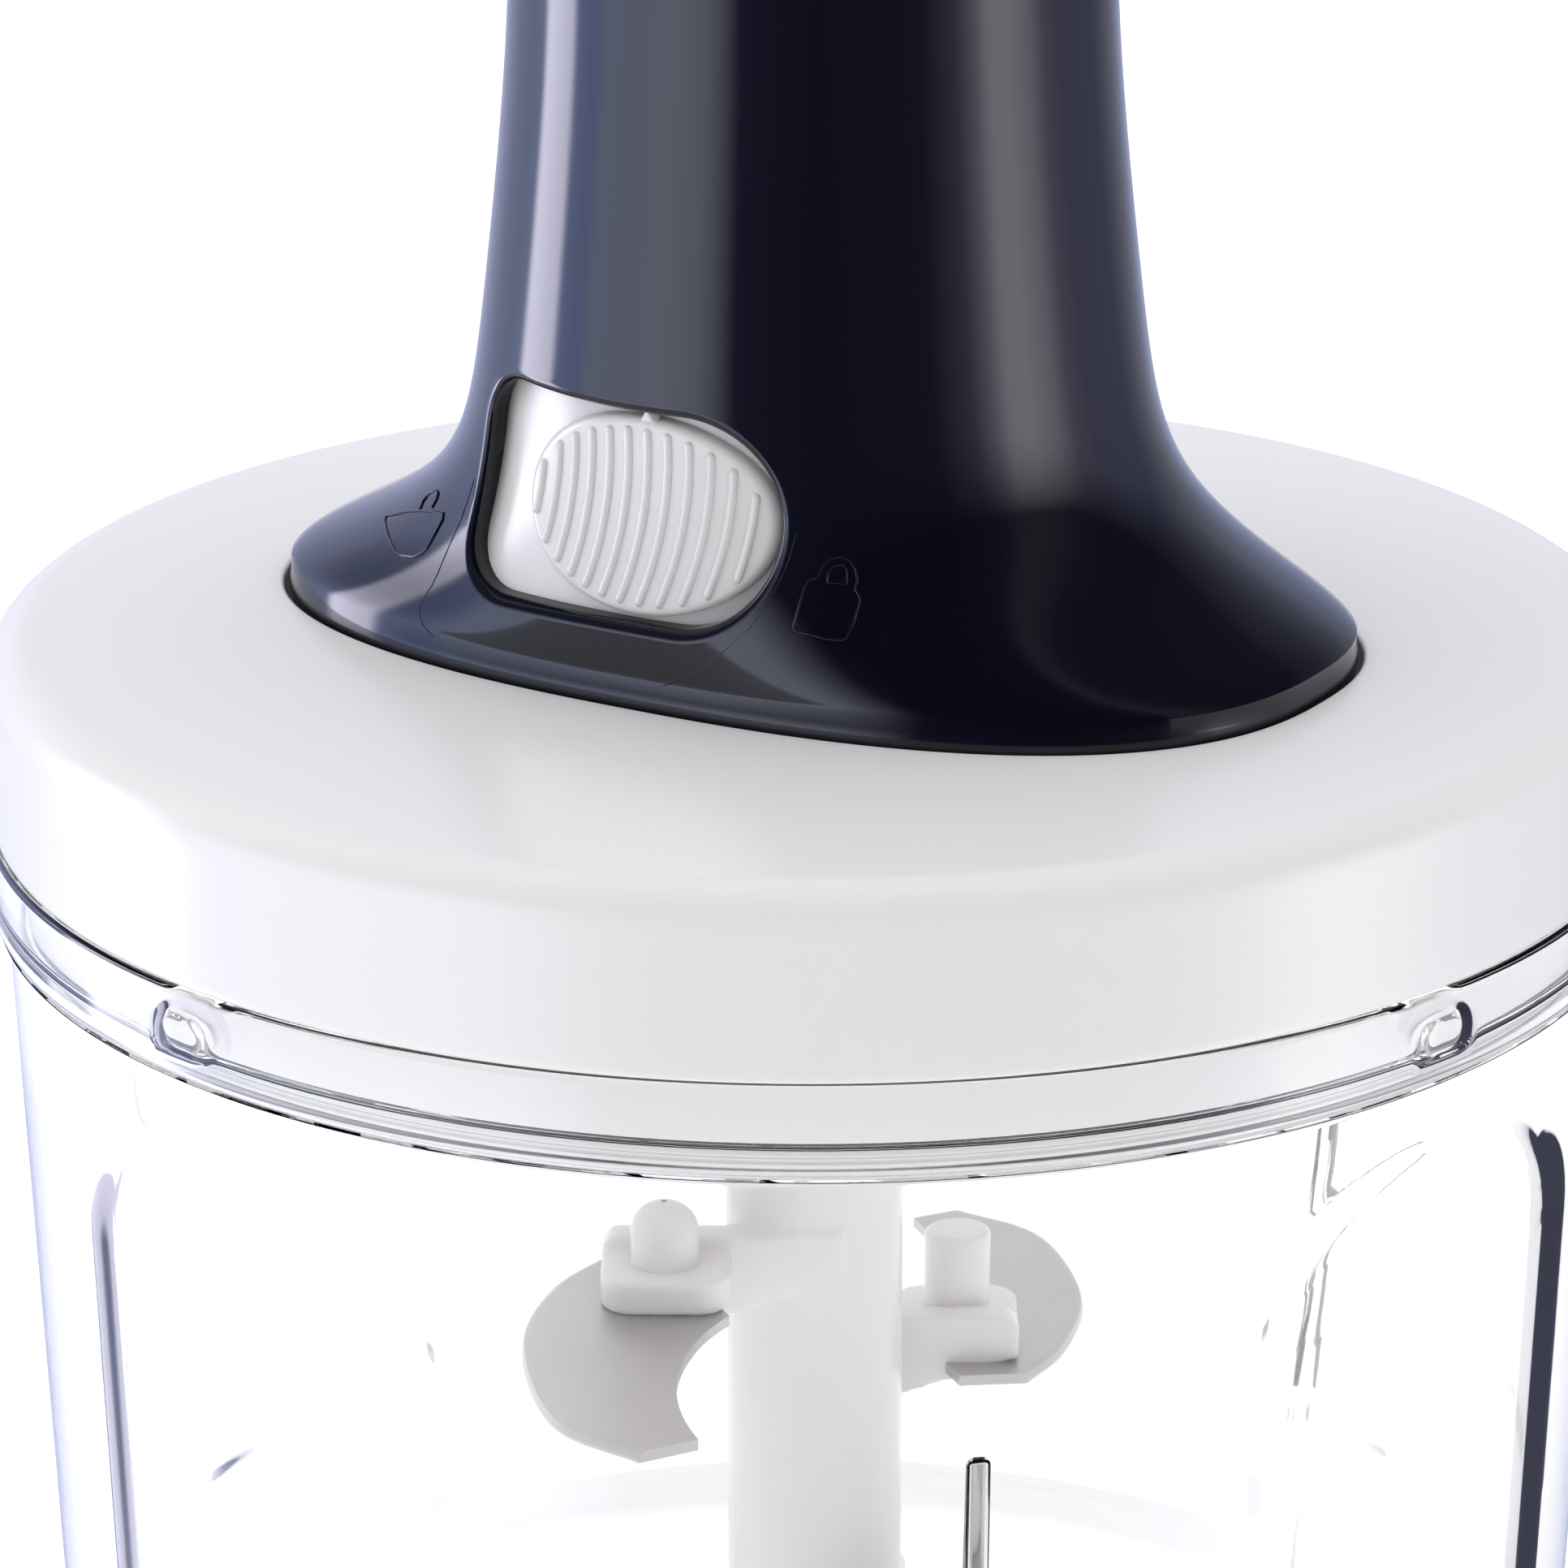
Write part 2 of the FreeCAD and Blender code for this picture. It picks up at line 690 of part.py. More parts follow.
def lid_shell():
    """White cover with the oval seat that the handle's foot drops into."""
    outer = ring(0, lid_radius, collar_top, lid_top)
    rim = [e for e in outer.Edges
           if e.BoundBox.ZMin > lid_top - through and e.BoundBox.DiagonalLength > lid_radius]
    outer = outer.makeFillet(lid_edge_radius, rim)
    inner = ring(0, lid_radius - lid_wall, collar_top - through, lid_top - lid_plate)
    edge = [e for e in inner.Edges if e.BoundBox.ZMin > lid_top - lid_plate - through
            and e.BoundBox.DiagonalLength > lid_radius]
    inner = inner.makeFillet(lid_edge_radius - lid_wall / 2, edge)
    seat_length = foot_half_length + foot_recess_gap
    seat_width = foot_half_width + foot_recess_gap
    seat_wall = oval_block(seat_length + recess_floor, seat_width + recess_floor, foot_squareness,
                           recess_underside, lid_top - lid_plate / 2)
    seat = oval_block(seat_length, seat_width, foot_squareness, recess_top, lid_top + through)
    pad = ring(tower_radius, tower_flange_radius, tower_pad_bottom, recess_underside + through / 2)
    shell = outer.cut(inner)
    bosses = [cylinder(lid_boss_radius, underplate_top, lid_boss_top + through / 2, x, y)
              for x, y in lid_screw_places()]
    shell = joined(shell, seat_wall, pad, *bosses)
    shell = shell.cut(seat)
    shell = shell.cut(cylinder(tower_radius + slip_clearance, underplate_top, lid_top + through))
    for x, y in lid_screw_places():
        shell = shell.cut(cylinder(screw_radius, underplate_top - through,
                                   underplate_top + lid_screw_length, x, y))
    for x, y in tower_screw_places():
        shell = shell.cut(cylinder(screw_radius, tower_pad_bottom - through,
                                   tower_pad_bottom + tower_screw_length - tower_flange_height, x, y))
    return shell


def skirt_radius():
    return collar_radius - collar_wall - slip_clearance * 3


def plug_radius():
    return wall_radius(plug_bottom) - bowl_wall - slip_clearance * 3


def lid_underplate():
    """Closing plate with the skirt inside the collar, the plug in the bowl and the hub's bearing."""
    skirt_top = collar_top + lid_edge_radius
    plate = ring(0, skirt_radius(), underplate_bottom, underplate_top)
    skirt = ring(skirt_radius() - skirt_wall, skirt_radius(), underplate_bottom, skirt_top)
    plug = ring(plug_radius() - plug_wall, plug_radius(), plug_bottom, underplate_bottom + through)
    barrel = ring(0, hub_barrel_radius + hub_boss_wall, plug_bottom, hub_boss_top)
    body = joined(plate, skirt, plug, barrel)
    body = body.cut(cylinder(hub_barrel_radius + running_clearance, plug_bottom - through,
                             hub_boss_top + through))
    body = body.cut(ring(plug_radius() - seal_thickness + seal_rim, plug_radius() + through,
                         seal_bottom(), seal_bottom() + seal_height))
    for x, y in lid_screw_places():
        body = body.cut(cylinder(screw_radius + seat_clearance, underplate_bottom - through,
                                 underplate_top + through, x, y))
    nib_margin = bump_rise + slip_clearance
    nib = rounded_slot(bump_half_length - nib_margin, bump_half_height - nib_margin,
                       (collar_top + collar_bottom) / 2, skirt_radius() - skirt_wall, collar_radius)
    nib = nib.common(ring(skirt_radius() - skirt_wall / 2, skirt_radius() + nib_rise,
                          underplate_bottom, collar_top))
    return body.fuse(around(nib, grip_count, bump_angle)).removeSplitter()


def seal_bottom():
    return plug_bottom + (plug_depth - seal_height) / 2


def lid_seal():
    """Soft ring in the plug's groove, standing a little proud of it."""
    inner = plug_radius() - seal_thickness + seal_rim
    outer = plug_radius() + seal_rim
    bottom = seal_bottom()
    top = bottom + seal_height
    lip = seal_height / 4
    return revolved([(inner, bottom), (outer - seal_rim, bottom), (outer, bottom + lip),
                     (outer, top - lip), (outer - seal_rim, top), (inner, top)])


def lid_screws():
    screws = [screw(underplate_thickness + lid_screw_length - through, underplate_bottom, x, y)
              for x, y in lid_screw_places()]
    return Part.makeCompound(screws)


def guide_tower():
    """Fixed tube that the handle slides on, with its keyways and the lock's groove."""
    body = ring(0, tower_radius, tower_bottom, tower_top_z)
    flange = ring(0, tower_flange_radius, tower_pad_bottom - tower_flange_height, tower_pad_bottom)
    body = joined(body, flange)
    body = body.cut(cylinder(tower_inner_radius, tower_floor_top, tower_top_z + through))
    body = body.cut(cylinder(hub_journal_radius + running_clearance, tower_bottom - through,
                             tower_floor_top + through))
    keyway = box(keyway_depth * 2, keyway_width, recess_top, tower_top_z + through, tower_radius)
    for cut in around(keyway, 2):
        body = body.cut(cut)
    body = body.cut(lock_groove())
    for x, y in tower_screw_places():
        body = body.cut(cylinder(screw_radius + seat_clearance, tower_bottom,
                                 tower_pad_bottom + through, x, y))
    return body


def tongue_half_deg():
    return math.degrees(tongue_width / 2 / tower_radius)


def lock_groove():
    """Shallow track for the lock's tongue, as wide as its two positions."""
    margin = math.degrees(slip_clearance * 2 / tower_radius)
    start = FRONT_DEG + tongue_angle - lock_turn - tongue_half_deg() - margin
    sweep = lock_turn + 2 * tongue_half_deg() + 2 * margin
    bottom = window_middle - tongue_height
    return sector(tower_radius - lock_groove_depth, tower_radius + through, bottom,
                  tower_top_z + through, start, sweep)


def tower_screws():
    screws = [screw(tower_screw_length, tower_pad_bottom - tower_flange_height, x, y)
              for x, y in tower_screw_places()]
    return Part.makeCompound(screws)


# ---- Handle -----------------------------------------------------------------------------

def oval_size(height, inset=0.0):
    """Half length, half width and squareness of the handle at a height above the lid's top."""
    swell = (1 + math.cos(math.pi * min(max(height, 0), neck_height) / neck_height)) / 2
    half_width = neck_radius + (waist_half_width - neck_radius) * swell
    rise = max(height + foot_sink - foot_rim_height, 0)
    share = math.exp(-(rise / flare_reach) ** flare_power)
    half_length = half_width + (foot_half_length - waist_half_width) * share
    squareness = 2 + (foot_squareness - 2) * share
    return half_length - inset, half_width - inset, squareness


def palm_size(height, inset=0.0):
    """The same above the neck, where the handle widens again under the palm."""
    share = (height - neck_height) / (palm_start - neck_height)
    ease = share * share * (3 - 2 * share)
    half_length = neck_radius + (palm_half_length - neck_radius) * ease
    half_width = neck_radius + (palm_half_width - neck_radius) * ease
    return half_length - inset, half_width - inset, 2.0


def handle_form(inset):
    """Lofted handle body drawn in by inset."""
    wires = []
    rim_middle = foot_bottom + foot_rim_height / 2
    for lift_deg in (-90, -50, -15, 20, 50):
        lift = math.radians(lift_deg)
        draw_in = inset + foot_rim_round * (1 - math.cos(lift))
        wires.append(oval_wire(foot_half_length - draw_in, foot_half_width - draw_in, foot_squareness,
                               rim_middle + foot_rim_height / 2 * math.sin(lift)))
    flare_foot = foot_rim_height - foot_sink
    for i in range(FLARE_SECTIONS):
        share = (i + 1) / FLARE_SECTIONS
        height = flare_foot + (neck_height - flare_foot) * share ** FLARE_CROWDING
        if i < FLARE_SECTIONS - 1:
            length, width, squareness = oval_size(height + inset / 2, inset)
            wires.append(oval_wire(length, width, squareness, lid_top + height))
    for i in range(PALM_SECTIONS + 1):
        height = neck_height + (palm_start - neck_height) * i / PALM_SECTIONS
        length, width, squareness = palm_size(height, inset)
        wires.append(oval_wire(length, width, squareness, lid_top + height))
    return Part.makeLoft(wires, True, False)


def foot_screw_places():
    return [(-foot_screw_ring, 0.0), (foot_screw_ring, 0.0)]


def window_prism():
    """Window outline: square-cornered on the left and round on the right, cut through the front."""
    radius = window_height / 2
    left = window_offset - window_half_width
    right = window_offset + window_half_width - radius
    corner = window_corner
    diagonal = corner * (1 - math.sqrt(0.5))
    edges = [
        Part.makeLine(V(left + corner, 0, window_bottom), V(right, 0, window_bottom)),
        Part.Arc(V(right, 0, window_bottom), V(right + radius, 0, window_middle),
                 V(right, 0, window_top)).toShape(),
        Part.makeLine(V(right, 0, window_top), V(left + corner, 0, window_top)),
        Part.Arc(V(left + corner, 0, window_top), V(left + diagonal, 0, window_top - diagonal),
                 V(left, 0, window_top - corner)).toShape(),
        Part.makeLine(V(left, 0, window_top - corner), V(left, 0, window_bottom + corner)),
        Part.Arc(V(left, 0, window_bottom + corner), V(left + diagonal, 0, window_bottom + diagonal),
                 V(left + corner, 0, window_bottom)).toShape(),
    ]
    face = Part.Face(Part.Wire(edges))
    face.translate(V(0, -tower_radius, 0))
    return face.extrude(V(0, -foot_half_width, 0))


def handle_shell():
    """Tall moulded shell: oval foot, round neck, flared palm rim, and the switch's window."""
    outer = handle_form(0.0)
    inner = handle_form(handle_wall)
    slab = ring(0, foot_half_length, bulkhead_bottom, bulkhead_top)
    bulkhead = inner.common(slab)
    shell = outer.cut(inner)
    bosses = []
    for x, y in foot_screw_places():
        post = cylinder(foot_boss_radius, foot_plate_top(), window_middle, x, y)
        bosses.append(post.common(inner))
    shell = joined(shell, bulkhead, *bosses)
    for x, y in foot_screw_places():
        shell = shell.cut(cylinder(screw_radius, foot_plate_top() - through,
                                   foot_plate_top() + foot_screw_length - foot_plate_thickness, x, y))
    for x, y in rod_screw_places():
        shell = shell.cut(cylinder(screw_radius + seat_clearance, bulkhead_bottom - through,
                                   bulkhead_top + through, x, y))
    shell = joined(shell.cut(window_prism()), *keeper_posts())
    for hole in keeper_screw_holes(screw_radius):
        shell = shell.cut(hole)
    return shell


def foot_plate_top():
    return foot_bottom + foot_plate_thickness


def dome_form(half_length, half_width, rise):
    """Shallow oval dome over the cap's rim, with a small flat at its top."""
    wires = []
    for i in range(DOME_SECTIONS + 1):
        lean = math.radians(DOME_LEAN_DEG) * i / DOME_SECTIONS
        wires.append(oval_wire(half_length * math.cos(lean), half_width * math.cos(lean), 2.0,
                               palm_z + palm_rim + rise * math.sin(lean)))
    return Part.makeLoft(wires, True, False)


def palm_cap():
    """Domed push pad, snapped into the top of the shell by its lip."""
    body = oval_block(palm_half_length, palm_half_width, 2.0, palm_z, palm_z + palm_rim)
    dome = dome_form(palm_half_length, palm_half_width, palm_dome)
    lip_bottom = palm_z - cap_lip_depth
    lip_length, lip_width, lip_squareness = palm_size(lip_bottom - lid_top, handle_wall + seat_clearance)
    lip = oval_block(lip_length, lip_width, lip_squareness, lip_bottom, palm_z + through)
    hollow = oval_block(lip_length - handle_wall, lip_width - handle_wall, lip_squareness,
                        lip_bottom - through, palm_z + palm_rim)
    dome_hollow = dome_form(lip_length - handle_wall, lip_width - handle_wall, palm_dome - handle_wall)
    return joined(body, dome, lip).cut(hollow).cut(dome_hollow)


def foot_plate():
    """Plate under the foot, with the keyed collar that slides on the guide tower."""
    inset = handle_wall + seat_clearance + foot_rim_round
    plate = oval_block(foot_half_length - inset, foot_half_width - inset, foot_squareness,
                       foot_bottom, foot_plate_top())
    bore = tower_radius + running_clearance
    guide = ring(0, bore + foot_collar_wall, foot_bottom, foot_bottom + foot_collar_height)
    body = joined(plate, guide)
    body = body.cut(cylinder(bore, foot_bottom - through, foot_bottom + foot_collar_height + through))
    key = box(keyway_depth * 2 - slip_clearance, keyway_width - slip_clearance, foot_bottom,
              foot_bottom + foot_collar_height, tower_radius + slip_clearance)
    body = joined(body, *around(key, 2))
    for x, y in foot_screw_places():
        body = body.cut(cylinder(screw_radius + seat_clearance, foot_bottom - through,
                                 foot_plate_top() + through, x, y))
        body = body.cut(cylinder(screw_head_radius + seat_clearance, foot_bottom - through,
                                 foot_bottom + screw_head_height, x, y))
    return body


def foot_screws():
    """Screws with their heads let into the foot plate."""
    head_z = foot_bottom + screw_head_height
    length = foot_screw_length - screw_head_height
    return Part.makeCompound([screw(length, head_z, x, y) for x, y in foot_screw_places()])


def return_spring():
    """Compression spring that lifts the handle when the lock is off."""
    height = spring_top - spring_bottom - 2 * spring_wire_radius
    helix = Part.makeHelix(height / spring_turns, height, spring_radius)
    start = V(spring_radius, 0, 0)
    circle = Part.Wire([Part.makeCircle(spring_wire_radius, start, V(0, 1, 0))])
    coil = Part.Wire(helix.Edges).makePipeShell([circle], True, True)
    coil.translate(V(0, 0, spring_bottom + spring_wire_radius))
    return coil


def spring_seat(bottom):
    inner = rod_hub_radius + slip_clearance + running_clearance
    return ring(max(inner, hub_journal_radius + slip_clearance), spring_radius + spring_wire_radius * 2,
                bottom, bottom + spring_seat_thickness)


# ---- Lock switch ------------------------------------------------------------------------

def slider_radius(z):
    share = (z - slider_bottom) / (slider_top - slider_bottom)
    return slider_bottom_radius + (slider_top_radius - slider_bottom_radius) * share


def cone_sector(inner_shift, outer_shift, start_deg, sweep_deg, bottom=None, top=None):
    """Part of a cone shell that follows the slider's face, shifted in or out of it."""
    low = slider_bottom if bottom is None else bottom
    high = slider_top if top is None else top
    profile = [(slider_radius(low) + inner_shift, low), (slider_radius(low) + outer_shift, low),
               (slider_radius(high) + outer_shift, high), (slider_radius(high) + inner_shift, high)]
    return revolved(profile, start_deg, sweep_deg)


def pad_prism(margin):
    """Oval of the thumb pad, cut through towards the front."""
    major = pad_half_width - margin
    minor = pad_half_height - margin
    outline = Part.Ellipse(V(pad_offset, 0, window_middle), major, minor)
    outline.Axis = V(0, -1, 0)
    face = Part.Face(Part.Wire([outline.toShape()]))
    face.translate(V(0, -tower_radius + through, 0))
    return face.extrude(V(0, -foot_half_width, 0))


def pad_ribs():
    """Raised bowed lines that give the thumb its grip."""
    prism = pad_prism(pad_rib_margin)
    face_ring = cone_sector(pad_rise - through / 2, pad_rise + pad_rib_rise, FRONT_DEG - slider_left_deg,
                            slider_left_deg + slider_right_deg)
    zone = prism.common(face_ring)
    first = pad_offset - pad_rib_pitch * (pad_rib_count - 1) / 2
    ribs = []
    for i in range(pad_rib_count):
        centre = V(first + pad_rib_pitch * i - pad_rib_bow, -tower_radius,
                   window_middle + pad_half_height / 2)
        outer = Part.makeCylinder(pad_rib_bow + pad_rib_width / 2, foot_half_width, centre, V(0, -1, 0))
        inner = Part.makeCylinder(pad_rib_bow - pad_rib_width / 2, foot_half_width, centre, V(0, -1, 0))
        ribs.append(outer.cut(inner).common(zone))
    return ribs


def lock_slider():
    """Curved slide with its ribbed thumb pad and the tongue that reaches the guide tower."""
    start = FRONT_DEG - slider_left_deg
    sweep = slider_left_deg + slider_right_deg
    plate = cone_sector(-slider_thickness, 0, start, sweep)
    pad = cone_sector(-through / 2, pad_rise, start, sweep)
    pad = pad.common(pad_prism(0))
    tongue = sector(tower_radius - lock_groove_depth + slip_clearance,
                    slider_radius(window_middle) - slider_thickness / 2,
                    window_middle - tongue_height / 2, window_middle + tongue_height / 2,
                    FRONT_DEG + tongue_angle - tongue_half_deg(), 2 * tongue_half_deg())
    return joined(plate, pad, tongue, *pad_ribs())


def keeper_outer_shift():
    return -slider_thickness - keeper_gap


def slider_keeper():
    """Curved plate behind the slide that holds it in its track."""
    inner = keeper_outer_shift() - keeper_thickness
    body = cone_sector(inner, keeper_outer_shift(), FRONT_DEG - keeper_span_deg, 2 * keeper_span_deg)
    margin = math.degrees(slip_clearance / tower_radius)
    slot_half = tongue_half_deg() + 2 * margin
    slot = sector(tower_radius - through, slider_bottom_radius + through,
                  window_middle - tongue_height / 2 - slip_clearance,
                  window_middle + tongue_height / 2 + slip_clearance,
                  FRONT_DEG + tongue_angle - lock_turn - slot_half, lock_turn + 2 * slot_half)
    body = body.cut(slot)
    for item in keeper_screw_holes(screw_radius + running_clearance):
        body = body.cut(item)
    return body


def keeper_screw_holes(radius):
    """Radial holes at the two ends of the keeper."""
    start = keeper_screw_seat()
    hole = Part.makeCylinder(radius, keeper_screw_length, V(start, 0, window_middle), V(1, 0, 0))
    head = Part.makeCylinder(screw_head_radius + seat_clearance, tower_radius,
                             V(start, 0, window_middle), V(-1, 0, 0))
    hole = hole.fuse(head)
    return [turned(hole, FRONT_DEG + side * keeper_screw_deg) for side in (-1, 1)]


def keeper_screw_seat():
    """Distance from the axis at which the screw heads bear on the keeper."""
    return slider_radius(window_middle) + keeper_outer_shift() - keeper_thickness + seat_clearance * 2


def keeper_posts():
    """Bosses inside the shell that the keeper is screwed to."""
    inner = handle_form(handle_wall - running_clearance)
    posts = []
    half = math.degrees(screw_head_radius / slider_top_radius)
    for side in (-1, 1):
        start = FRONT_DEG + side * keeper_screw_deg - half
        post = cone_sector(keeper_outer_shift(), foot_half_length, start, 2 * half,
                           window_middle - screw_head_radius, window_middle + screw_head_radius)
        posts.append(post.common(inner))
    return posts


def keeper_screws():
    """Short screws from inside, one at each end of the keeper."""
    seat = keeper_screw_seat()
    shank = Part.makeCylinder(screw_radius, keeper_screw_length, V(seat, 0, window_middle), V(1, 0, 0))
    head = Part.makeCylinder(screw_head_radius, screw_head_height / 2, V(seat, 0, window_middle),
                             V(-1, 0, 0))
    item = joined(shank, head)
    places = [turned(item, FRONT_DEG + side * keeper_screw_deg) for side in (-1, 1)]
    return Part.makeCompound(places)


nodes = {
    "bowl": bowl(),
    "spindle_pin": spindle_pin(),
    "base_ring": base_ring(),
    "blade_shaft": blade_shaft(),
    "shaft_bush": shaft_bush(),
    "upper_blade_left": blade("upper_left"),
    "upper_blade_right": blade("upper_right"),
    "lower_blade_front": blade("lower_front"),
    "lower_blade_back": blade("lower_back"),
    "upper_blade_pegs": Part.makeCompound([blade_peg("upper_left", False), blade_peg("upper_right", True)]),
    "lower_blade_pegs": Part.makeCompound([blade_peg("lower_front", False), blade_peg("lower_back", False)]),
    "lid_shell": lid_shell(),
    "lid_underplate": lid_underplate(),
    "lid_seal": lid_seal(),
    "lid_screws": lid_screws(),
    "guide_tower": guide_tower(),
    "tower_screws": tower_screws(),
    "lower_thrust_washer": thrust_washer(hub_barrel_radius, hub_boss_top),
    "upper_thrust_washer": thrust_washer(hub_journal_radius, hub_flange_top),
    "drive_hub": drive_hub(),
    "lower_spring_seat": spring_seat(tower_floor_top),
    "return_spring": return_spring(),
    "upper_spring_seat": spring_seat(spring_top),
    "handle_shell": handle_shell(),
    "palm_cap": palm_cap(),
    "foot_plate": foot_plate(),
    "foot_screws": foot_screws(),
    "drive_rod": drive_rod(),
    "rod_head": rod_head(),
    "rod_pin": rod_pin(),
    "rod_screws": rod_screws(),
    "lock_slider": lock_slider(),
    "slider_keeper": slider_keeper(),
    "keeper_screws": keeper_screws(),
}

os.makedirs("parts", exist_ok=True)
for name, shape in nodes.items():
    shape.exportStep("parts/" + name + ".step")
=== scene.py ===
from math import asin, atan2, copysign, cos, exp, hypot, pi, radians, sin, sqrt, tan

import bmesh
import bpy
from mathutils import Matrix, Vector


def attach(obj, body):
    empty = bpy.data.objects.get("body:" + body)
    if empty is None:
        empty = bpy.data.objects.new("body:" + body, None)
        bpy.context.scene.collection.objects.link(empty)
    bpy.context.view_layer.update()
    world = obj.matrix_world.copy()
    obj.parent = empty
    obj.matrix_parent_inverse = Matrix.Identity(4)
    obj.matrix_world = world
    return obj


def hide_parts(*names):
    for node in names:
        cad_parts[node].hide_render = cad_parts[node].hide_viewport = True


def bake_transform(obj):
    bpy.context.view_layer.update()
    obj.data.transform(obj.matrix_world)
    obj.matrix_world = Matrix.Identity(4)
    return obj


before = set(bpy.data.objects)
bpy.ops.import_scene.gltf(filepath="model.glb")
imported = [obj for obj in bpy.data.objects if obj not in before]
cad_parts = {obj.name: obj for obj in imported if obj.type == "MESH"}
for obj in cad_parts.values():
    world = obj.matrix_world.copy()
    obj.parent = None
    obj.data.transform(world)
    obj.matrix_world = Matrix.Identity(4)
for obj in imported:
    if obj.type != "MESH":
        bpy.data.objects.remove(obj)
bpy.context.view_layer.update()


# ---- Camera ------------------------------------------------------------------------------------
# A long lens close to the chopper, to the right of its lock switch and a little above the lid.
# The lens looks at the middle of the bowl's rim, turned and tipped by a few pixels of the frame.

mm = 0.001
rim_height = 124.0 * mm
camera_distance = 650.0 * mm
camera_bearing = radians(31.0)
camera_rise = radians(19.10)
camera_roll = radians(-0.15)
focal_pixels = 7774.0
frame_pixels = 1932.0
sensor_width = 36.0
swing = -39.0 / focal_pixels
tip = 2.0 / focal_pixels

gaze = Vector((sin(swing) * cos(camera_rise + tip), cos(swing) * cos(camera_rise + tip),
               -sin(camera_rise + tip)))
sideways = Vector((cos(swing), -sin(swing), 0))
upwards = sideways.cross(gaze)
level_x = cos(camera_roll) * sideways + sin(camera_roll) * upwards
level_y = cos(camera_roll) * upwards - sin(camera_roll) * sideways
stand = Vector((0, -camera_distance * cos(camera_rise), camera_distance * sin(camera_rise)))
bearing = Matrix.Rotation(camera_bearing, 3, "Z")

bpy.ops.object.camera_add()
camera = bpy.context.object
camera.name = "camera"
camera.rotation_euler = (bearing @ Matrix((level_x, level_y, -gaze)).transposed()).to_euler()
camera.location = bearing @ stand + Vector((0, 0, rim_height))
camera.data.sensor_fit = "HORIZONTAL"
camera.data.sensor_width = sensor_width
camera.data.lens = sensor_width * focal_pixels / frame_pixels
camera.data.clip_start = 10.0 * mm
bpy.context.scene.camera = camera


# ---- Studio ------------------------------------------------------------------------------------
# A white room with a tall narrow lamp behind on the left, a wide soft box on each side and a dark
# curtain in front, so that glossy plastic shows long bright bands and matt plastic a soft shade.
# The bands are given by their direction, in degrees to the right of the camera.

gloss_bands = [
    (-180, (0.55, 0.58, 0.80)), (-140, (0.70, 0.77, 1.20)), (-128, (0.85, 1.00, 1.60)),
    (-119, (1.20, 1.40, 2.20)), (-116, (7.20, 7.10, 8.80)), (-101, (7.20, 7.10, 8.80)),
    (-98, (1.40, 1.70, 3.00)), (-88, (1.30, 1.60, 2.90)), (-82, (1.80, 2.10, 2.90)),
    (-66, (2.00, 2.20, 2.90)), (-54, (2.30, 2.45, 3.00)), (-40, (1.90, 2.00, 2.50)),
    (-34, (1.20, 1.25, 1.60)), (-27, (0.10, 0.10, 0.20)), (0, (0.04, 0.04, 0.07)),
    (40, (0.08, 0.08, 0.12)), (54, (0.50, 0.50, 0.75)), (62, (1.50, 1.50, 1.90)),
    (68, (3.00, 2.90, 3.20)), (75, (3.10, 3.00, 3.30)), (86, (2.00, 2.00, 2.30)),
    (95, (0.80, 0.80, 1.10)), (104, (0.50, 0.50, 0.76)), (127, (0.28, 0.30, 0.48)),
    (146, (0.43, 0.45, 0.55)), (160, (0.50, 0.57, 0.85)), (180, (0.55, 0.58, 0.80)),
]
soft_bands = [
    (-180, (0.95, 0.95, 0.96)), (-100, (1.30, 1.30, 1.32)), (-60, (0.88, 0.88, 0.89)),
    (-20, (0.42, 0.41, 0.42)), (25, (0.38, 0.37, 0.38)), (70, (0.82, 0.81, 0.81)),
    (110, (0.95, 0.95, 0.96)), (180, (0.95, 0.95, 0.96)),
]
brightest = 9.0
gloss_top = 0.36
gloss_overhead = 0.06
gloss_lift_behind = 0.33
soft_level = 0.64
soft_overhead = 1.85
floor_size = 16.0

world = bpy.data.worlds.new("white_room")
bpy.context.scene.world = world
world.use_nodes = True
room = world.node_tree
room.nodes.clear()


def add_node(tree, kind, feeds=(), **settings):
    """A node with its settings made, and each input set to a value or fed by another's output."""
    node = tree.nodes.new("ShaderNode" + kind)
    for name, value in settings.items():
        setattr(node, name, value)
    for place, value in dict(feeds).items():
        if isinstance(value, bpy.types.NodeSocket):
            tree.links.new(value, node.inputs[place])
        else:
            node.inputs[place].default_value = value
    return node


def calculate(tree, operation, *values):
    """What a Math node makes of values or of other nodes' outputs."""
    return add_node(tree, "Math", enumerate(values), operation=operation).outputs[0]


def finish_of(name, settings):
    """A new material with plain settings on its shader, its node tree and its shader."""
    material = bpy.data.materials.new(name)
    material.use_nodes = True
    shader = material.node_tree.nodes["Principled BSDF"]
    for socket, value in settings.items():
        shader.inputs[socket].default_value = value
    return material, material.node_tree, shader


place_in_room = add_node(room, "TexCoord").outputs["Generated"]
facing = add_node(room, "Mapping", {"Vector": place_in_room, "Rotation": (0, 0, -camera_bearing)})
to_right, away, up = add_node(room, "SeparateXYZ", {"Vector": facing.outputs["Vector"]}).outputs
round_camera = calculate(room, "ARCTAN2", to_right, calculate(room, "MULTIPLY", away, -1.0))
share_round = calculate(room, "MULTIPLY_ADD", round_camera, 1 / (2 * pi), 0.5)


def band_light(bands, strength):
    """Light from each direction round the room, with the bands as shares of the brightest."""
    ramp = add_node(room, "ValToRGB", {"Fac": share_round})
    stops = ramp.color_ramp.elements
    for degrees, glow in bands[1:-1]:
        stops.new(degrees / 360 + 0.5)
    for stop, (degrees, glow) in zip(stops, bands):
        stop.position = degrees / 360 + 0.5
        stop.color = (*[part / brightest for part in glow], 1)
    return add_node(room, "Background", {"Color": ramp.outputs["Color"], "Strength": strength}).outputs[0]


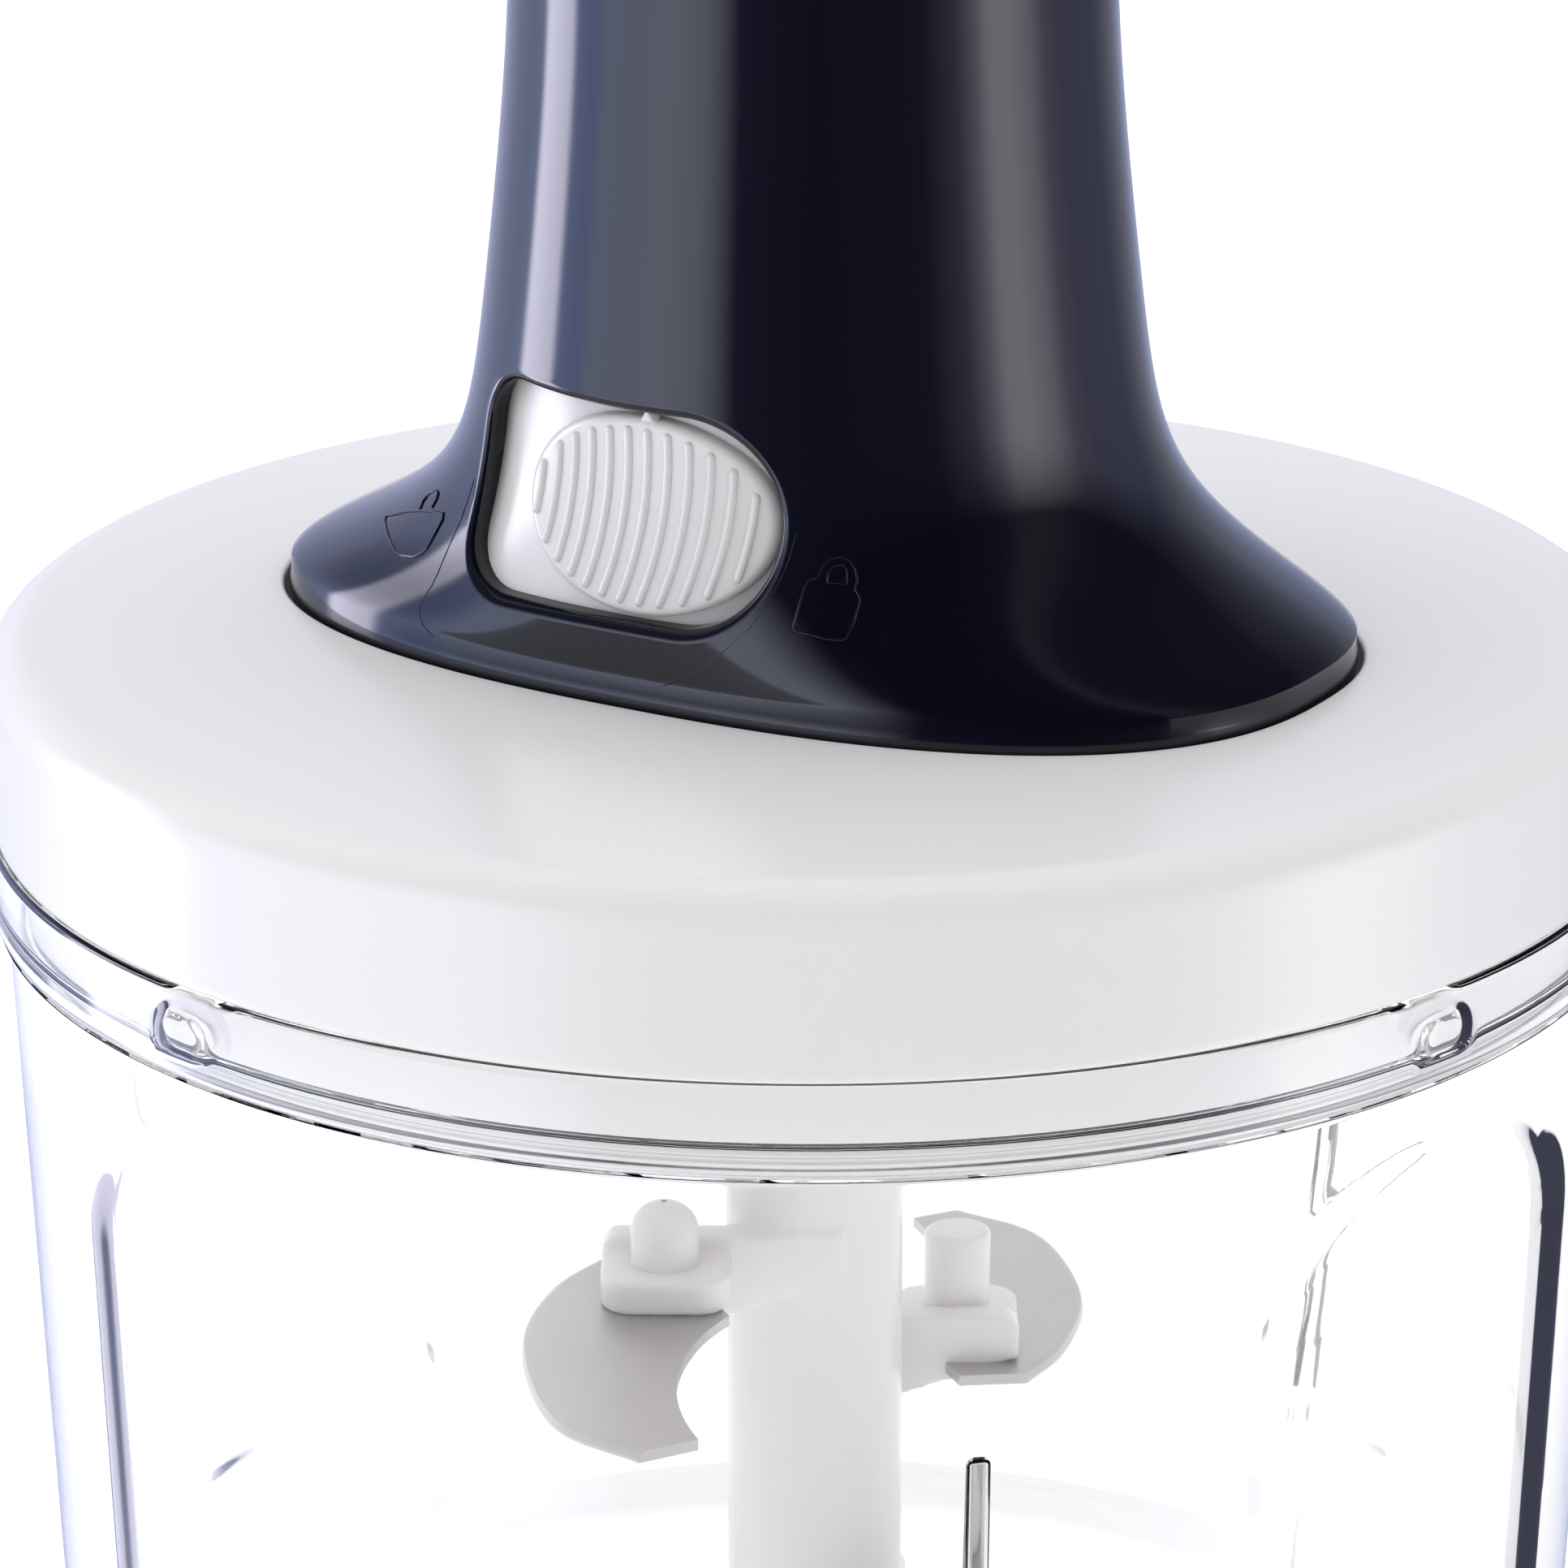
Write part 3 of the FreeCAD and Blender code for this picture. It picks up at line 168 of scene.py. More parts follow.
tilted = calculate(room, "MULTIPLY_ADD", calculate(room, "MAXIMUM", away, 0.0), -gloss_lift_behind, up)
gloss_fade = add_node(room, "MapRange", {"Value": tilted, "From Min": 0.0, "From Max": gloss_top,
                                         "To Min": 1.0, "To Max": gloss_overhead}).outputs["Result"]
gloss_light = band_light(gloss_bands, calculate(room, "MULTIPLY", gloss_fade, brightest))
skylight = add_node(room, "MapRange", {"Value": up, "To Min": soft_level * brightest,
                                       "To Max": soft_overhead * brightest}).outputs["Result"]
soft_light = band_light(soft_bands, skylight)
white_light = add_node(room, "Background", {"Color": (1, 1, 1, 1), "Strength": 1.0}).outputs[0]
path = add_node(room, "LightPath").outputs
inside_clear = calculate(room, "GREATER_THAN", path["Transmission Depth"], 0.5)
mirrored_inside = calculate(room, "MULTIPLY", inside_clear, path["Is Glossy Ray"])
straight_or_bent = calculate(room, "MAXIMUM", path["Is Camera Ray"], path["Is Transmission Ray"])
# Seen straight on, through clear plastic or mirrored inside it, the room is plain white.
sees_white = calculate(room, "MAXIMUM", straight_or_bent, mirrored_inside)
gloss_or_soft = add_node(room, "MixShader", {"Fac": path["Is Glossy Ray"], 1: soft_light, 2: gloss_light})
whole_room = add_node(room, "MixShader", {"Fac": sees_white, 1: gloss_or_soft.outputs[0], 2: white_light})
add_node(room, "OutputWorld", {"Surface": whole_room.outputs[0]})
bpy.context.scene.view_settings.view_transform = "Standard"

bpy.ops.mesh.primitive_plane_add(size=floor_size, location=(0, 0, 0))
floor = bpy.context.object
floor.name = "studio_floor"
pale_floor = {"Base Color": (0.86, 0.86, 0.86, 1), "Roughness": 0.8, "Emission Color": (1, 1, 1, 1),
              "Emission Strength": 0.35}
floor.data.materials.append(finish_of("pale_floor", pale_floor)[0])
floor.visible_glossy = False


# ---- Bowl --------------------------------------------------------------------------------------
# The clear bowl is one moulding of hard see-through plastic. It tapers to a rounded foot and ends
# above in a wide collar for the lid. Four shallow arch panels give wet hands a hold, four oval
# bumps take the lid's snap nibs, and three thin wedge ribs inside stop the food from turning.

bowl_floor_z = 2.6
bowl_foot_radius = 79.0
bowl_shoulder_radius = 83.0
bowl_corner = 11.0
bowl_wall = 3.0
collar_bottom = 114.5
collar_top = 124.0
collar_radius = 84.5
collar_wall = 2.5
ledge_top = 117.1
mouth_radius = 79.75
boss_radius = 8.5
boss_top = 10.6
panel_turn = radians(-11.5)
panel_half_width = 25.5
panel_bottom = 26.6
panel_top = 109.8
panel_corner = 4.0
panel_arch_rise = 19.0
panel_depth = 0.8
panel_edge = 4.4
bump_turn = radians(-14.2)
bump_half_length = 4.2
bump_half_height = 2.7
bump_rise = 0.6
bump_edge = 2.0
bump_lead = 0.35
bowl_rounds = 248
wall_rows = 48
inner_wall_rows = 12
weld = 0.0005 * mm


def select_only(piece):
    """Leaves one piece selected and active."""
    bpy.ops.object.select_all(action="DESELECT")
    piece.select_set(True)
    bpy.context.view_layer.objects.active = piece


def begin_shaping(piece):
    """Opens one piece for shaping, with nothing in it selected."""
    select_only(piece)
    bpy.ops.object.mode_set(mode="EDIT")
    bpy.ops.mesh.select_all(action="DESELECT")


def close_shaping(piece, smooth_angle=None):
    """Closes the piece with smooth faces, or with edges sharper than the angle left crisp."""
    if bpy.context.mode != "OBJECT":
        bpy.ops.object.mode_set(mode="OBJECT")
    select_only(piece)
    bpy.ops.object.transform_apply(location=True, rotation=True, scale=True)
    if smooth_angle is None:
        bpy.ops.object.shade_smooth()
    else:
        bpy.ops.object.shade_smooth_by_angle(angle=radians(smooth_angle))


def pick(kind, test):
    """Selects those of the open piece's verts or faces that pass the test."""
    bpy.context.tool_settings.mesh_select_mode = (kind == "verts", False, kind == "faces")
    bpy.ops.mesh.select_all(action="DESELECT")
    body = bmesh.from_edit_mesh(bpy.context.object.data)
    for part in getattr(body, kind):
        part.select = test(part)
    body.select_flush_mode()
    bmesh.update_edit_mesh(bpy.context.object.data)


def press(rule):
    """Moves every point of the open piece to where the rule puts it."""
    body = bmesh.from_edit_mesh(bpy.context.object.data)
    for point in body.verts:
        point.co = rule(point.co)
    body.normal_update()
    bmesh.update_edit_mesh(bpy.context.object.data)


def turn_outwards():
    """Selects all of the open piece and makes its faces point outwards."""
    bpy.ops.mesh.select_all(action="SELECT")
    bpy.ops.mesh.normals_make_consistent(inside=False)


def rounded(corners, steps=5, closed=False):
    """Outline in millimetres whose corners (radius, height, rounding) are drawn as arcs."""
    lead = 0.15
    outline = []
    for i, corner in enumerate(corners):
        here = Vector(corner[:2])
        if len(corner) == 2:
            outline.append(here)
            continue
        back = (Vector(corners[i - 1][:2]) - here).normalized()
        on = (Vector(corners[(i + 1) % len(corners)][:2]) - here).normalized()
        half = back.angle(on) / 2
        reach = corner[2] / tan(half)
        middle = here + (back + on).normalized() * corner[2] / sin(half)
        start = here + back * reach - middle
        end = here + on * reach - middle
        turn = start.angle_signed(end)
        outline.append(middle + start + back * corner[2] * lead)
        outline += [middle + Matrix.Rotation(-turn * k / steps, 2) @ start for k in range(steps + 1)]
        outline.append(middle + end + on * corner[2] * lead)
    return outline + [outline[0].copy()] if closed else outline


def drawn_line(name, places):
    """A line drawn point by point through places in millimetres, left open and selected."""
    bpy.ops.object.select_all(action="DESELECT")
    bpy.context.tool_settings.mesh_select_mode = (True, False, False)
    bpy.ops.mesh.primitive_plane_add(size=mm, location=[part * mm for part in places[0]])
    piece = bpy.context.object
    piece.name = name
    bpy.ops.object.mode_set(mode="EDIT")
    bpy.ops.mesh.select_all(action="SELECT")
    bpy.ops.mesh.merge(type="CENTER")
    for before, after in zip(places, places[1:]):
        step = [(part - last) * mm for part, last in zip(after, before)]
        bpy.ops.mesh.extrude_region_move(TRANSFORM_OT_translate={"value": step})
    bpy.ops.mesh.select_all(action="SELECT")
    return piece


def turned_piece(name, outline, rounds=96, sweep=2 * pi):
    """Spins an outline of (radius, height) round the tool axis and leaves the piece open."""
    piece = drawn_line(name, [(radius, 0, height) for radius, height in outline])
    bpy.ops.mesh.spin(steps=rounds, angle=sweep, center=(0, 0, 0), axis=(0, 0, 1))
    bpy.ops.mesh.select_all(action="SELECT")
    bpy.ops.mesh.remove_doubles(threshold=weld)
    turn_outwards()
    bpy.ops.object.mode_set(mode="OBJECT")
    bpy.ops.object.transform_apply(location=True, rotation=True, scale=True)
    bpy.ops.object.mode_set(mode="EDIT")
    return piece


corner_z = bowl_floor_z + bowl_corner


def bowl_wall_radius(z):
    """Outer radius of the tapered wall at a height, in millimetres."""
    share = (z - corner_z) / (collar_bottom - corner_z)
    return bowl_foot_radius + (bowl_shoulder_radius - bowl_foot_radius) * share


def eased(share):
    """Runs smoothly from 0 to 1."""
    share = min(max(share, 0.0), 1.0)
    return share * share * (3 - 2 * share)


def around_wall(place, turn):
    """Place in millimetres along the wall from the nearest of four middle lines, and its height."""
    quarter = pi / 2
    off = (atan2(place.x, -place.y) - turn + quarter / 2) % quarter - quarter / 2
    return hypot(place.x, place.y) / mm * sin(off), place.z / mm


def outside_panel(place):
    """Distance in millimetres out of the arch panel's outline, less than zero inside it."""
    along, height = around_wall(place, panel_turn)
    side = abs(along) - panel_half_width
    low = panel_bottom - height
    rise = max(height - panel_top + panel_arch_rise, 0.0)
    if rise == 0.0:
        corner = hypot(max(side + panel_corner, 0), max(low + panel_corner, 0)) - panel_corner
        return max(side, low, corner)
    share = hypot(along / panel_half_width, rise / panel_arch_rise)
    return (share - 1) * share / hypot(along / panel_half_width ** 2, rise / panel_arch_rise ** 2)


def outside_bump(place):
    """Distance in millimetres out of the collar's nearest oval bump."""
    along, height = around_wall(place, bump_turn)
    straight = bump_half_length - bump_half_height
    from_middle = height - (collar_top + collar_bottom) / 2
    return hypot(max(abs(along) - straight, 0), from_middle) - bump_half_height


inner_collar = collar_radius - collar_wall
outer_rows = [corner_z + (collar_bottom - 1.2 - corner_z) * i / wall_rows for i in range(1, wall_rows)]
outer_wall = [(bowl_wall_radius(z), z) for z in outer_rows]
inner_rows = [corner_z + (ledge_top - 4.0 - corner_z) * i / inner_wall_rows
              for i in range(inner_wall_rows - 1, 0, -1)]
inner_wall = [(bowl_wall_radius(z) - bowl_wall, z) for z in inner_rows]
collar_rows = [(collar_radius, collar_bottom + 1.9 + 6.4 * i / 7) for i in range(8)]
collar_inner_rows = [(inner_collar, collar_top - 1.0 - 4.6 * i / 5) for i in range(6)]
bowl_outline = rounded(
    [(0, bowl_floor_z), (bowl_foot_radius - 0.75, bowl_floor_z, 10.0)] + outer_wall
    + [(bowl_shoulder_radius, collar_bottom, 1.0), (collar_radius, collar_bottom, 1.4)] + collar_rows
    + [(collar_radius, collar_top, 0.8), (inner_collar, collar_top, 0.6)] + collar_inner_rows
    + [(inner_collar, ledge_top, 0.9), (mouth_radius, ledge_top, 0.9)] + inner_wall
    + [(bowl_foot_radius - bowl_wall - 0.6, bowl_floor_z + bowl_wall, 7.5),
       (boss_radius + 1.6, bowl_floor_z + bowl_wall, 1.6), (boss_radius - 0.6, boss_top, 0.8), (0, boss_top)],
    steps=6)


def by_panel_edge(face, reach):
    """True for an outer face of the wall within reach of the middle of a panel's slope."""
    middle = face.calc_center_median()
    return (corner_z * mm < middle.z < (collar_bottom - 1.0) * mm
            and hypot(middle.x, middle.y) > (bowl_wall_radius(middle.z / mm) - bowl_wall / 2) * mm
            and abs(outside_panel(middle) + panel_edge / 2) < reach)


def by_bump(face):
    """True for an upright face of the collar on a bump or near it."""
    middle = face.calc_center_median()
    return (middle.z > (ledge_top + 0.3) * mm and abs(face.normal.z) < 0.5
            and hypot(middle.x, middle.y) > (inner_collar - 0.4) * mm and outside_bump(middle) < 1.2)


def mould_bowl(place):
    """Presses the panels in and the bumps out, and puts new points back on the round wall."""
    radius = hypot(place.x, place.y) / mm
    height = place.z / mm
    if radius < bowl_foot_radius - bowl_wall * 1.5 or height < corner_z:
        return place
    if height < collar_bottom - 1.3:
        wall = bowl_wall_radius(height)
        if radius < wall - bowl_wall / 2:
            return place
        wanted = wall - panel_depth * eased(-outside_panel(place) / panel_edge)
    elif radius > inner_collar - 0.4 and height > ledge_top + 0.3:
        wanted = radius + bump_rise * eased(-outside_bump(place) / bump_edge + bump_lead)
    else:
        return place
    return Vector((place.x * wanted / radius, place.y * wanted / radius, place.z))


bowl = turned_piece("clear_bowl", bowl_outline, rounds=bowl_rounds)
for panel_reach in (3.4, 2.2):
    pick("faces", lambda face: by_panel_edge(face, panel_reach))
    bpy.ops.mesh.subdivide(number_cuts=1)
    pick("faces", by_bump)
    bpy.ops.mesh.subdivide(number_cuts=1)
press(mould_bowl)
close_shaping(bowl)
bowl.visible_shadow = False
bowl.visible_diffuse = False


def new_group(name, inputs, outputs):
    """A node group with number inputs and outputs: its tree, what it is given and what it makes."""
    group = bpy.data.node_groups.new(name, "ShaderNodeTree")
    for socket, value in inputs.items():
        kind = "NodeSocketVector" if isinstance(value, tuple) else "NodeSocketFloat"
        group.interface.new_socket(name=socket, in_out="INPUT", socket_type=kind).default_value = value
    for socket in outputs:
        group.interface.new_socket(name=socket, in_out="OUTPUT", socket_type="NodeSocketFloat")
    return group, group.nodes.new("NodeGroupInput").outputs, group.nodes.new("NodeGroupOutput").inputs


def cloud(tree, place, scale, detail):
    """Soft noise over the place, from 0 to 1."""
    return add_node(tree, "TexNoise", {"Vector": place, "Scale": scale, "Detail": detail}).outputs["Fac"]


def moulded_skin_group():
    """The faint unevenness of moulded plastic: a drift of tone, a drift of gloss and a fine relief."""
    usual = {"Ripple Scale": 260.0, "Grain Scale": 2600.0, "Grain Share": 0.3, "Drift": 0.03,
             "Gloss Drift": 0.1}
    group, given, made = new_group("moulded_skin", usual, ("Tone", "Gloss", "Relief"))
    place = add_node(group, "TexCoord").outputs["Object"]
    patches = calculate(group, "SUBTRACT", cloud(group, place, 22.0, 3.0), 0.5)
    smears = calculate(group, "SUBTRACT", cloud(group, place, 90.0, 4.0), 0.5)
    ripple = cloud(group, place, given["Ripple Scale"], 1.0)
    grain = cloud(group, place, given["Grain Scale"], 2.0)
    group.links.new(calculate(group, "MULTIPLY_ADD", patches, given["Drift"], 1.0), made["Tone"])
    group.links.new(calculate(group, "MULTIPLY_ADD", smears, given["Gloss Drift"], 0.0), made["Gloss"])
    group.links.new(calculate(group, "MULTIPLY_ADD", grain, given["Grain Share"], ripple), made["Relief"])
    return group


moulded_skin = moulded_skin_group()


def feed_shader(tree, shader, tint, rough, bump):
    """Gives a shader its colour, gloss and relief from their nodes."""
    tree.links.new(tint.outputs["Result"], shader.inputs["Base Color"])
    tree.links.new(rough.outputs[0], shader.inputs["Roughness"])
    tree.links.new(bump.outputs["Normal"], shader.inputs["Normal"])


def moulded_plastic(name, colour, roughness, relief_mm, settings, **skin):
    """A plastic with plain settings and its moulded skin, whose relief is in millimetres."""
    material, tree, shader = finish_of(name, settings)
    feeds = {socket.replace("_", " "): value for socket, value in skin.items()}
    made = add_node(tree, "Group", feeds, node_tree=moulded_skin).outputs
    tint = add_node(tree, "Mix", {"Factor": 1.0, "A": (*colour, 1), "B": made["Tone"]}, data_type="RGBA",
                    blend_type="MULTIPLY")
    rough = add_node(tree, "Math", {0: made["Gloss"], 1: roughness}, operation="ADD", use_clamp=True)
    bump = add_node(tree, "Bump", {"Strength": 1.0, "Distance": relief_mm * mm, "Height": made["Relief"]})
    feed_shader(tree, shader, tint, rough, bump)
    return material


clear_plastic = moulded_plastic("clear_plastic", (0.985, 0.985, 0.992), 0.02, 0.004,
                                {"IOR": 1.49, "Transmission Weight": 1.0},
                                Ripple_Scale=120.0, Grain_Share=0.02, Drift=0.0, Gloss_Drift=0.02)
bowl.data.materials.append(clear_plastic)
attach(bowl, "bowl")
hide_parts("bowl")

rib_turn = radians(42.0)
rib_thickness = 2.2
rib_top = 84.5
rib_sink = 0.9
# How high the rib's top, middle and foot are, how far in from the wall, and how deep.
rib_levels = ((rib_top, 0.0, 0.25), (rib_top * 0.5, 0.0, 2.6), (bowl_floor_z + bowl_wall - 0.6, 4.0, 4.0))


def wedge(place):
    """Draws a cube of 3 rows of points, 1 mm wide, out to a rib that is deepest at the bowl's floor."""
    height, inset, depth = rib_levels[1 - round(place.z / mm * 2)]
    wall = bowl_wall_radius(max(height, corner_z)) - bowl_wall - inset
    from_wall = (0.5 + place.y / mm) * (rib_sink + depth)
    return Vector((place.x * rib_thickness, -(wall + rib_sink - from_wall) * mm, height * mm))


for i in range(3):
    bpy.ops.object.select_all(action="DESELECT")
    bpy.ops.mesh.primitive_cube_add(size=mm)
    rib = bpy.context.object
    begin_shaping(rib)
    bpy.ops.mesh.select_all(action="SELECT")
    bpy.ops.mesh.subdivide(number_cuts=1)
    press(wedge)
    turn_outwards()
    bpy.ops.mesh.bevel(offset=0.5 * mm, segments=3, affect="EDGES")
    close_shaping(rib)
    rib.rotation_euler.z = rib_turn + i * 2 * pi / 3
    close_shaping(rib, 40)
    rib.name = "bowl_rib_%d" % (i + 1)
    rib.visible_shadow = False
    rib.visible_diffuse = False
    rib.data.materials.append(clear_plastic)
    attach(rib, "bowl")


# ---- Base ring and spindle ---------------------------------------------------------------------
# A pale soft ring that the bowl's foot presses into, which keeps it still on the worktop. The
# spindle is a polished steel pin moulded into the bowl's floor, and the blade shaft runs on it.

# The soft grip also glows faintly: a painted glow that lifts the ring to near white where it is seen through
# the bowl.
soft_grip = moulded_plastic("soft_grip", (0.92, 0.92, 0.92), 0.62, 0.03,
                            {"Emission Color": (1, 1, 1, 1), "Emission Strength": 0.16}, Ripple_Scale=900.0,
                            Grain_Scale=5200.0, Grain_Share=0.8, Drift=0.05, Gloss_Drift=0.12)

ring_outline = rounded([(34.0, 0.0, 0.6), (79.0, 0.0, 2.0), (81.4, 2.4, 1.2), (81.4, 11.0, 0.9),
                        (79.3, 11.0, 0.5), (77.0, 5.4, 2.0), (69.0, 2.5, 1.5), (34.0, 2.5, 0.6)], closed=True)
base_ring = turned_piece("base_ring_soft", ring_outline, rounds=192)
close_shaping(base_ring, 50)
base_ring.data.materials.append(soft_grip)
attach(base_ring, "bowl")
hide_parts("base_ring")


def drawn_lines_group():
    """Long fine scratches that run one way, for ground or drawn steel."""
    usual = {"Line Scale": 1800.0, "Along": (1, 0.02, 1)}
    group, given, made = new_group("drawn_lines", usual, ("Lines", "Clouds"))
    place = add_node(group, "TexCoord").outputs["Object"]
    drawn_out = add_node(group, "VectorMath", {0: place, 1: given["Along"]}, operation="MULTIPLY").outputs[0]
    group.links.new(cloud(group, drawn_out, given["Line Scale"], 3.0), made["Lines"])
    patches = add_node(group, "TexNoise", {"Vector": place, "Scale": 60.0})
    group.links.new(patches.outputs["Fac"], made["Clouds"])
    return group


drawn_lines = drawn_lines_group()


def metal_finish(name, colour, roughness, spread, along, relief_mm):
    """Steel with drawn lines in its gloss and relief."""
    material, tree, shader = finish_of(name, {"Metallic": 1.0, "Base Color": (*colour, 1)})
    made = add_node(tree, "Group", {"Along": along}, node_tree=drawn_lines).outputs
    rough = add_node(tree, "MapRange", {"Value": made["Lines"], "To Min": roughness - spread,
                                        "To Max": roughness + spread})
    darker = (colour[0] * 0.9, colour[1] * 0.9, colour[2] * 0.92, 1)
    tint = add_node(tree, "Mix", {"Factor": made["Clouds"], "A": (*colour, 1), "B": darker}, data_type="RGBA")
    bump = add_node(tree, "Bump", {"Distance": relief_mm * mm, "Height": made["Lines"]})
    feed_shader(tree, shader, tint, rough, bump)
    return material


steel = metal_finish("steel", (0.60, 0.60, 0.61), 0.24, 0.08, (1, 1, 0.03), 0.003)
spindle_outline = rounded([(0, 6.0), (3.0, 6.0, 0.3), (3.0, 39.0, 2.9), (0, 39.0)], steps=8)
spindle = turned_piece("spindle_steel", spindle_outline, rounds=48)
close_shaping(spindle, 50)
spindle.data.materials.append(steel)
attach(spindle, "bowl")
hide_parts("spindle_pin")


# ---- Blade shaft -------------------------------------------------------------------------------
# A hollow white moulding that slips over the spindle. Four staggered arms leave it on one side, and
# each is a deep web with a block that a blade is held under. Its hexagonal top fits the hub.

shaft_radius = 9.3
shaft_bore = 5.9
shaft_bottom = 10.85
shaft_shoulder = 109.2
hexagon_across = 15.0
hexagon_bottom = 108.2
shaft_top = 121.7
arm_places = {"upper_left": (-149.0, 73.4), "upper_right": (31.0, 56.6),
              "lower_front": (-59.0, 30.0), "lower_back": (121.0, 16.0)}
web_inner = 5.8
web_outer = 9.8
web_outline = [(-3.0, 1.2), (8.5, -4.2), (20.8, 0.0), (22.0, 0.0), (22.0, 4.2), (20.8, 5.4), (-3.0, 5.4)]
block_start = 8.5
block_end = 22.0
block_outer = 19.5
block_height = 3.9
block_round = 3.5
peg_along = 15.4
peg_across = 12.95
peg_radius = 3.55
peg_foot = 3.1
peg_core = 1.9
blade_thickness = 1.2

white_plastic = moulded_plastic(
    "white_plastic", (0.80, 0.785, 0.79), 0.24, 0.006,
    {"IOR": 1.5, "Subsurface Weight": 0.08, "Subsurface Radius": (0.004, 0.004, 0.004),
     "Subsurface Scale": 1.0},
    Ripple_Scale=240.0, Grain_Scale=2600.0, Grain_Share=0.12, Drift=0.02, Gloss_Drift=0.10)


def plate_of(name, outline, bottom, thickness):
    """A flat plate whose outline, in millimetres, is drawn round, filled and thickened upwards."""
    piece = drawn_line(name, [(x, y, bottom) for x, y in outline])
    bpy.ops.mesh.edge_face_add()
    bpy.ops.mesh.extrude_region_move(TRANSFORM_OT_translate={"value": (0, 0, thickness * mm)})
    turn_outwards()
    close_shaping(piece)
    return piece


def join_pieces(name, pieces):
    """Joins pieces into one that keeps the first one's place."""
    select_only(pieces[0])
    for piece in pieces:
        piece.select_set(True)
    bpy.ops.object.join()
    pieces[0].name = name
    return pieces[0]


def use_modifier(piece, kind, **settings):
    """Adds a modifier, sets it and applies it."""
    select_only(piece)
    modifier = piece.modifiers.new("shape", kind)
    for name, value in settings.items():
        setattr(modifier, name, value)
    bpy.ops.object.modifier_apply(modifier=modifier.name)


quarter_turn = [pi / 2 * k / 6 for k in range(7)]
block_outline = [(block_start, web_inner), (block_end, web_inner)]
block_outline += [(block_end - block_round + block_round * cos(t),
                   block_outer - block_round + block_round * sin(t)) for t in quarter_turn]
block_outline += [(block_start + block_round - block_round * sin(t),
                   block_outer - block_round + block_round * cos(t)) for t in quarter_turn]
shaft_parts = [turned_piece("shaft", rounded(
    [(shaft_bore, shaft_bottom), (shaft_radius, shaft_bottom, 0.5), (shaft_radius, shaft_shoulder, 0.8),
     (shaft_bore, shaft_shoulder)], closed=True))]
close_shaping(shaft_parts[0])
bpy.ops.mesh.primitive_cylinder_add(vertices=6, radius=hexagon_across / sqrt(3) * mm,
                                    depth=(shaft_top - hexagon_bottom) * mm,
                                    location=(0, 0, (hexagon_bottom + shaft_top) / 2 * mm))
shaft_parts.append(bpy.context.object)
close_shaping(shaft_parts[-1])
for degrees, level in arm_places.values():
    web = plate_of("web", web_outline, -web_outer, web_outer - web_inner)
    web.rotation_euler.x = pi / 2
    close_shaping(web)
    for part in (web, plate_of("block", block_outline, 0.0, block_height)):
        part.rotation_euler.z = radians(degrees)
        part.location.z = level * mm
        close_shaping(part)
        shaft_parts.append(part)
shaft = join_pieces("blade_shaft_moulded", shaft_parts)
use_modifier(shaft, "REMESH", mode="VOXEL", voxel_size=0.5 * mm)
use_modifier(shaft, "SMOOTH", factor=0.5, iterations=4)
close_shaping(shaft)
shaft.data.materials.clear()
shaft.data.materials.append(white_plastic)
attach(shaft, "blades")
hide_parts("blade_shaft")


def peg(place, height, top_round):
    """One peg through its blade and block, with a rounded top and a riveted foot."""
    degrees, level = arm_places[place]
    low = level - blade_thickness
    base = level + block_height
    piece = turned_piece("peg", rounded(
        [(0, low - 0.8), (peg_foot, low - 0.8, 0.35), (peg_foot, low), (peg_core, low),
         (peg_core, base - 0.5), (peg_radius + 0.2, base - 0.5), (peg_radius, base + 0.6, 0.4),
         (peg_radius, base + height, top_round), (0, base + height)], steps=8), rounds=48)
    bpy.ops.mesh.select_all(action="SELECT")
    bpy.ops.transform.translate(value=(peg_along * mm, peg_across * mm, 0))
    close_shaping(piece)
    piece.rotation_euler.z = radians(degrees)
    close_shaping(piece, 50)
    return piece


for node, pegs in (("upper_blade_pegs", [peg("upper_left", 7.0, 3.4), peg("upper_right", 9.9, 0.8)]),
                   ("lower_blade_pegs", [peg("lower_front", 7.0, 3.4), peg("lower_back", 7.0, 3.4)])):
    pair = join_pieces("moulded_" + node, pegs)
    pair.data.materials.append(white_plastic)
    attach(pair, "blades")
    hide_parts(node)


# ---- Blades ------------------------------------------------------------------------------------
# Four flat crescents stamped from 1.2 mm stainless sheet. The long outer edge is ground sharp, the
# hollow inner edge ends in a blunt hook. Each lies under its arm's block, held by the peg.

heel = Vector((15.5, 2.3))
hollow_start = Vector((8.7, 19.2))
hollow_middle = Vector((13.7, 36.5))
hook = Vector((11.3, 49.5))
ground_edge = ((22.8, 3.0), (27.0, 10.5), (29.6, 22.0), (28.7, 34.0), (25.0, 45.5), (17.0, 52.5))
grind_width = 0.85
blade_steel = metal_finish("blade_steel", (0.56, 0.545, 0.53), 0.36, 0.06, (1, 0.04, 1), 0.002)


def arc_through(start, middle, end, steps):
    """Points on the arc from start through middle to end, less than half a round, without its start."""
    ax, ay = middle - start
    bx, by = end - start
    d = 2 * (ax * by - ay * bx)
    centre = start + Vector((by * (ax * ax + ay * ay) - ay * (bx * bx + by * by),
                             ax * (bx * bx + by * by) - bx * (ax * ax + ay * ay))) / d
    sweep = (start - centre).angle_signed(end - centre)
    return [centre + Matrix.Rotation(-sweep * k / steps, 2) @ (start - centre) for k in range(1, steps + 1)]


def smooth_through(places, steps):
    """Points on a smooth curve through the places, steps to each stretch."""
    ends = [2 * places[0] - places[1]] + places + [2 * places[-1] - places[-2]]
    curve = []
    for before, start, end, after in zip(ends, ends[1:], ends[2:], ends[3:]):
        for k in range(steps):
            t = k / steps
            curve.append(0.5 * (2 * start + (end - before) * t
                                + (2 * before - 5 * start + 4 * end - after) * t * t
                                + (3 * start - before - 3 * end + after) * t ** 3))
    return curve + [places[-1]]


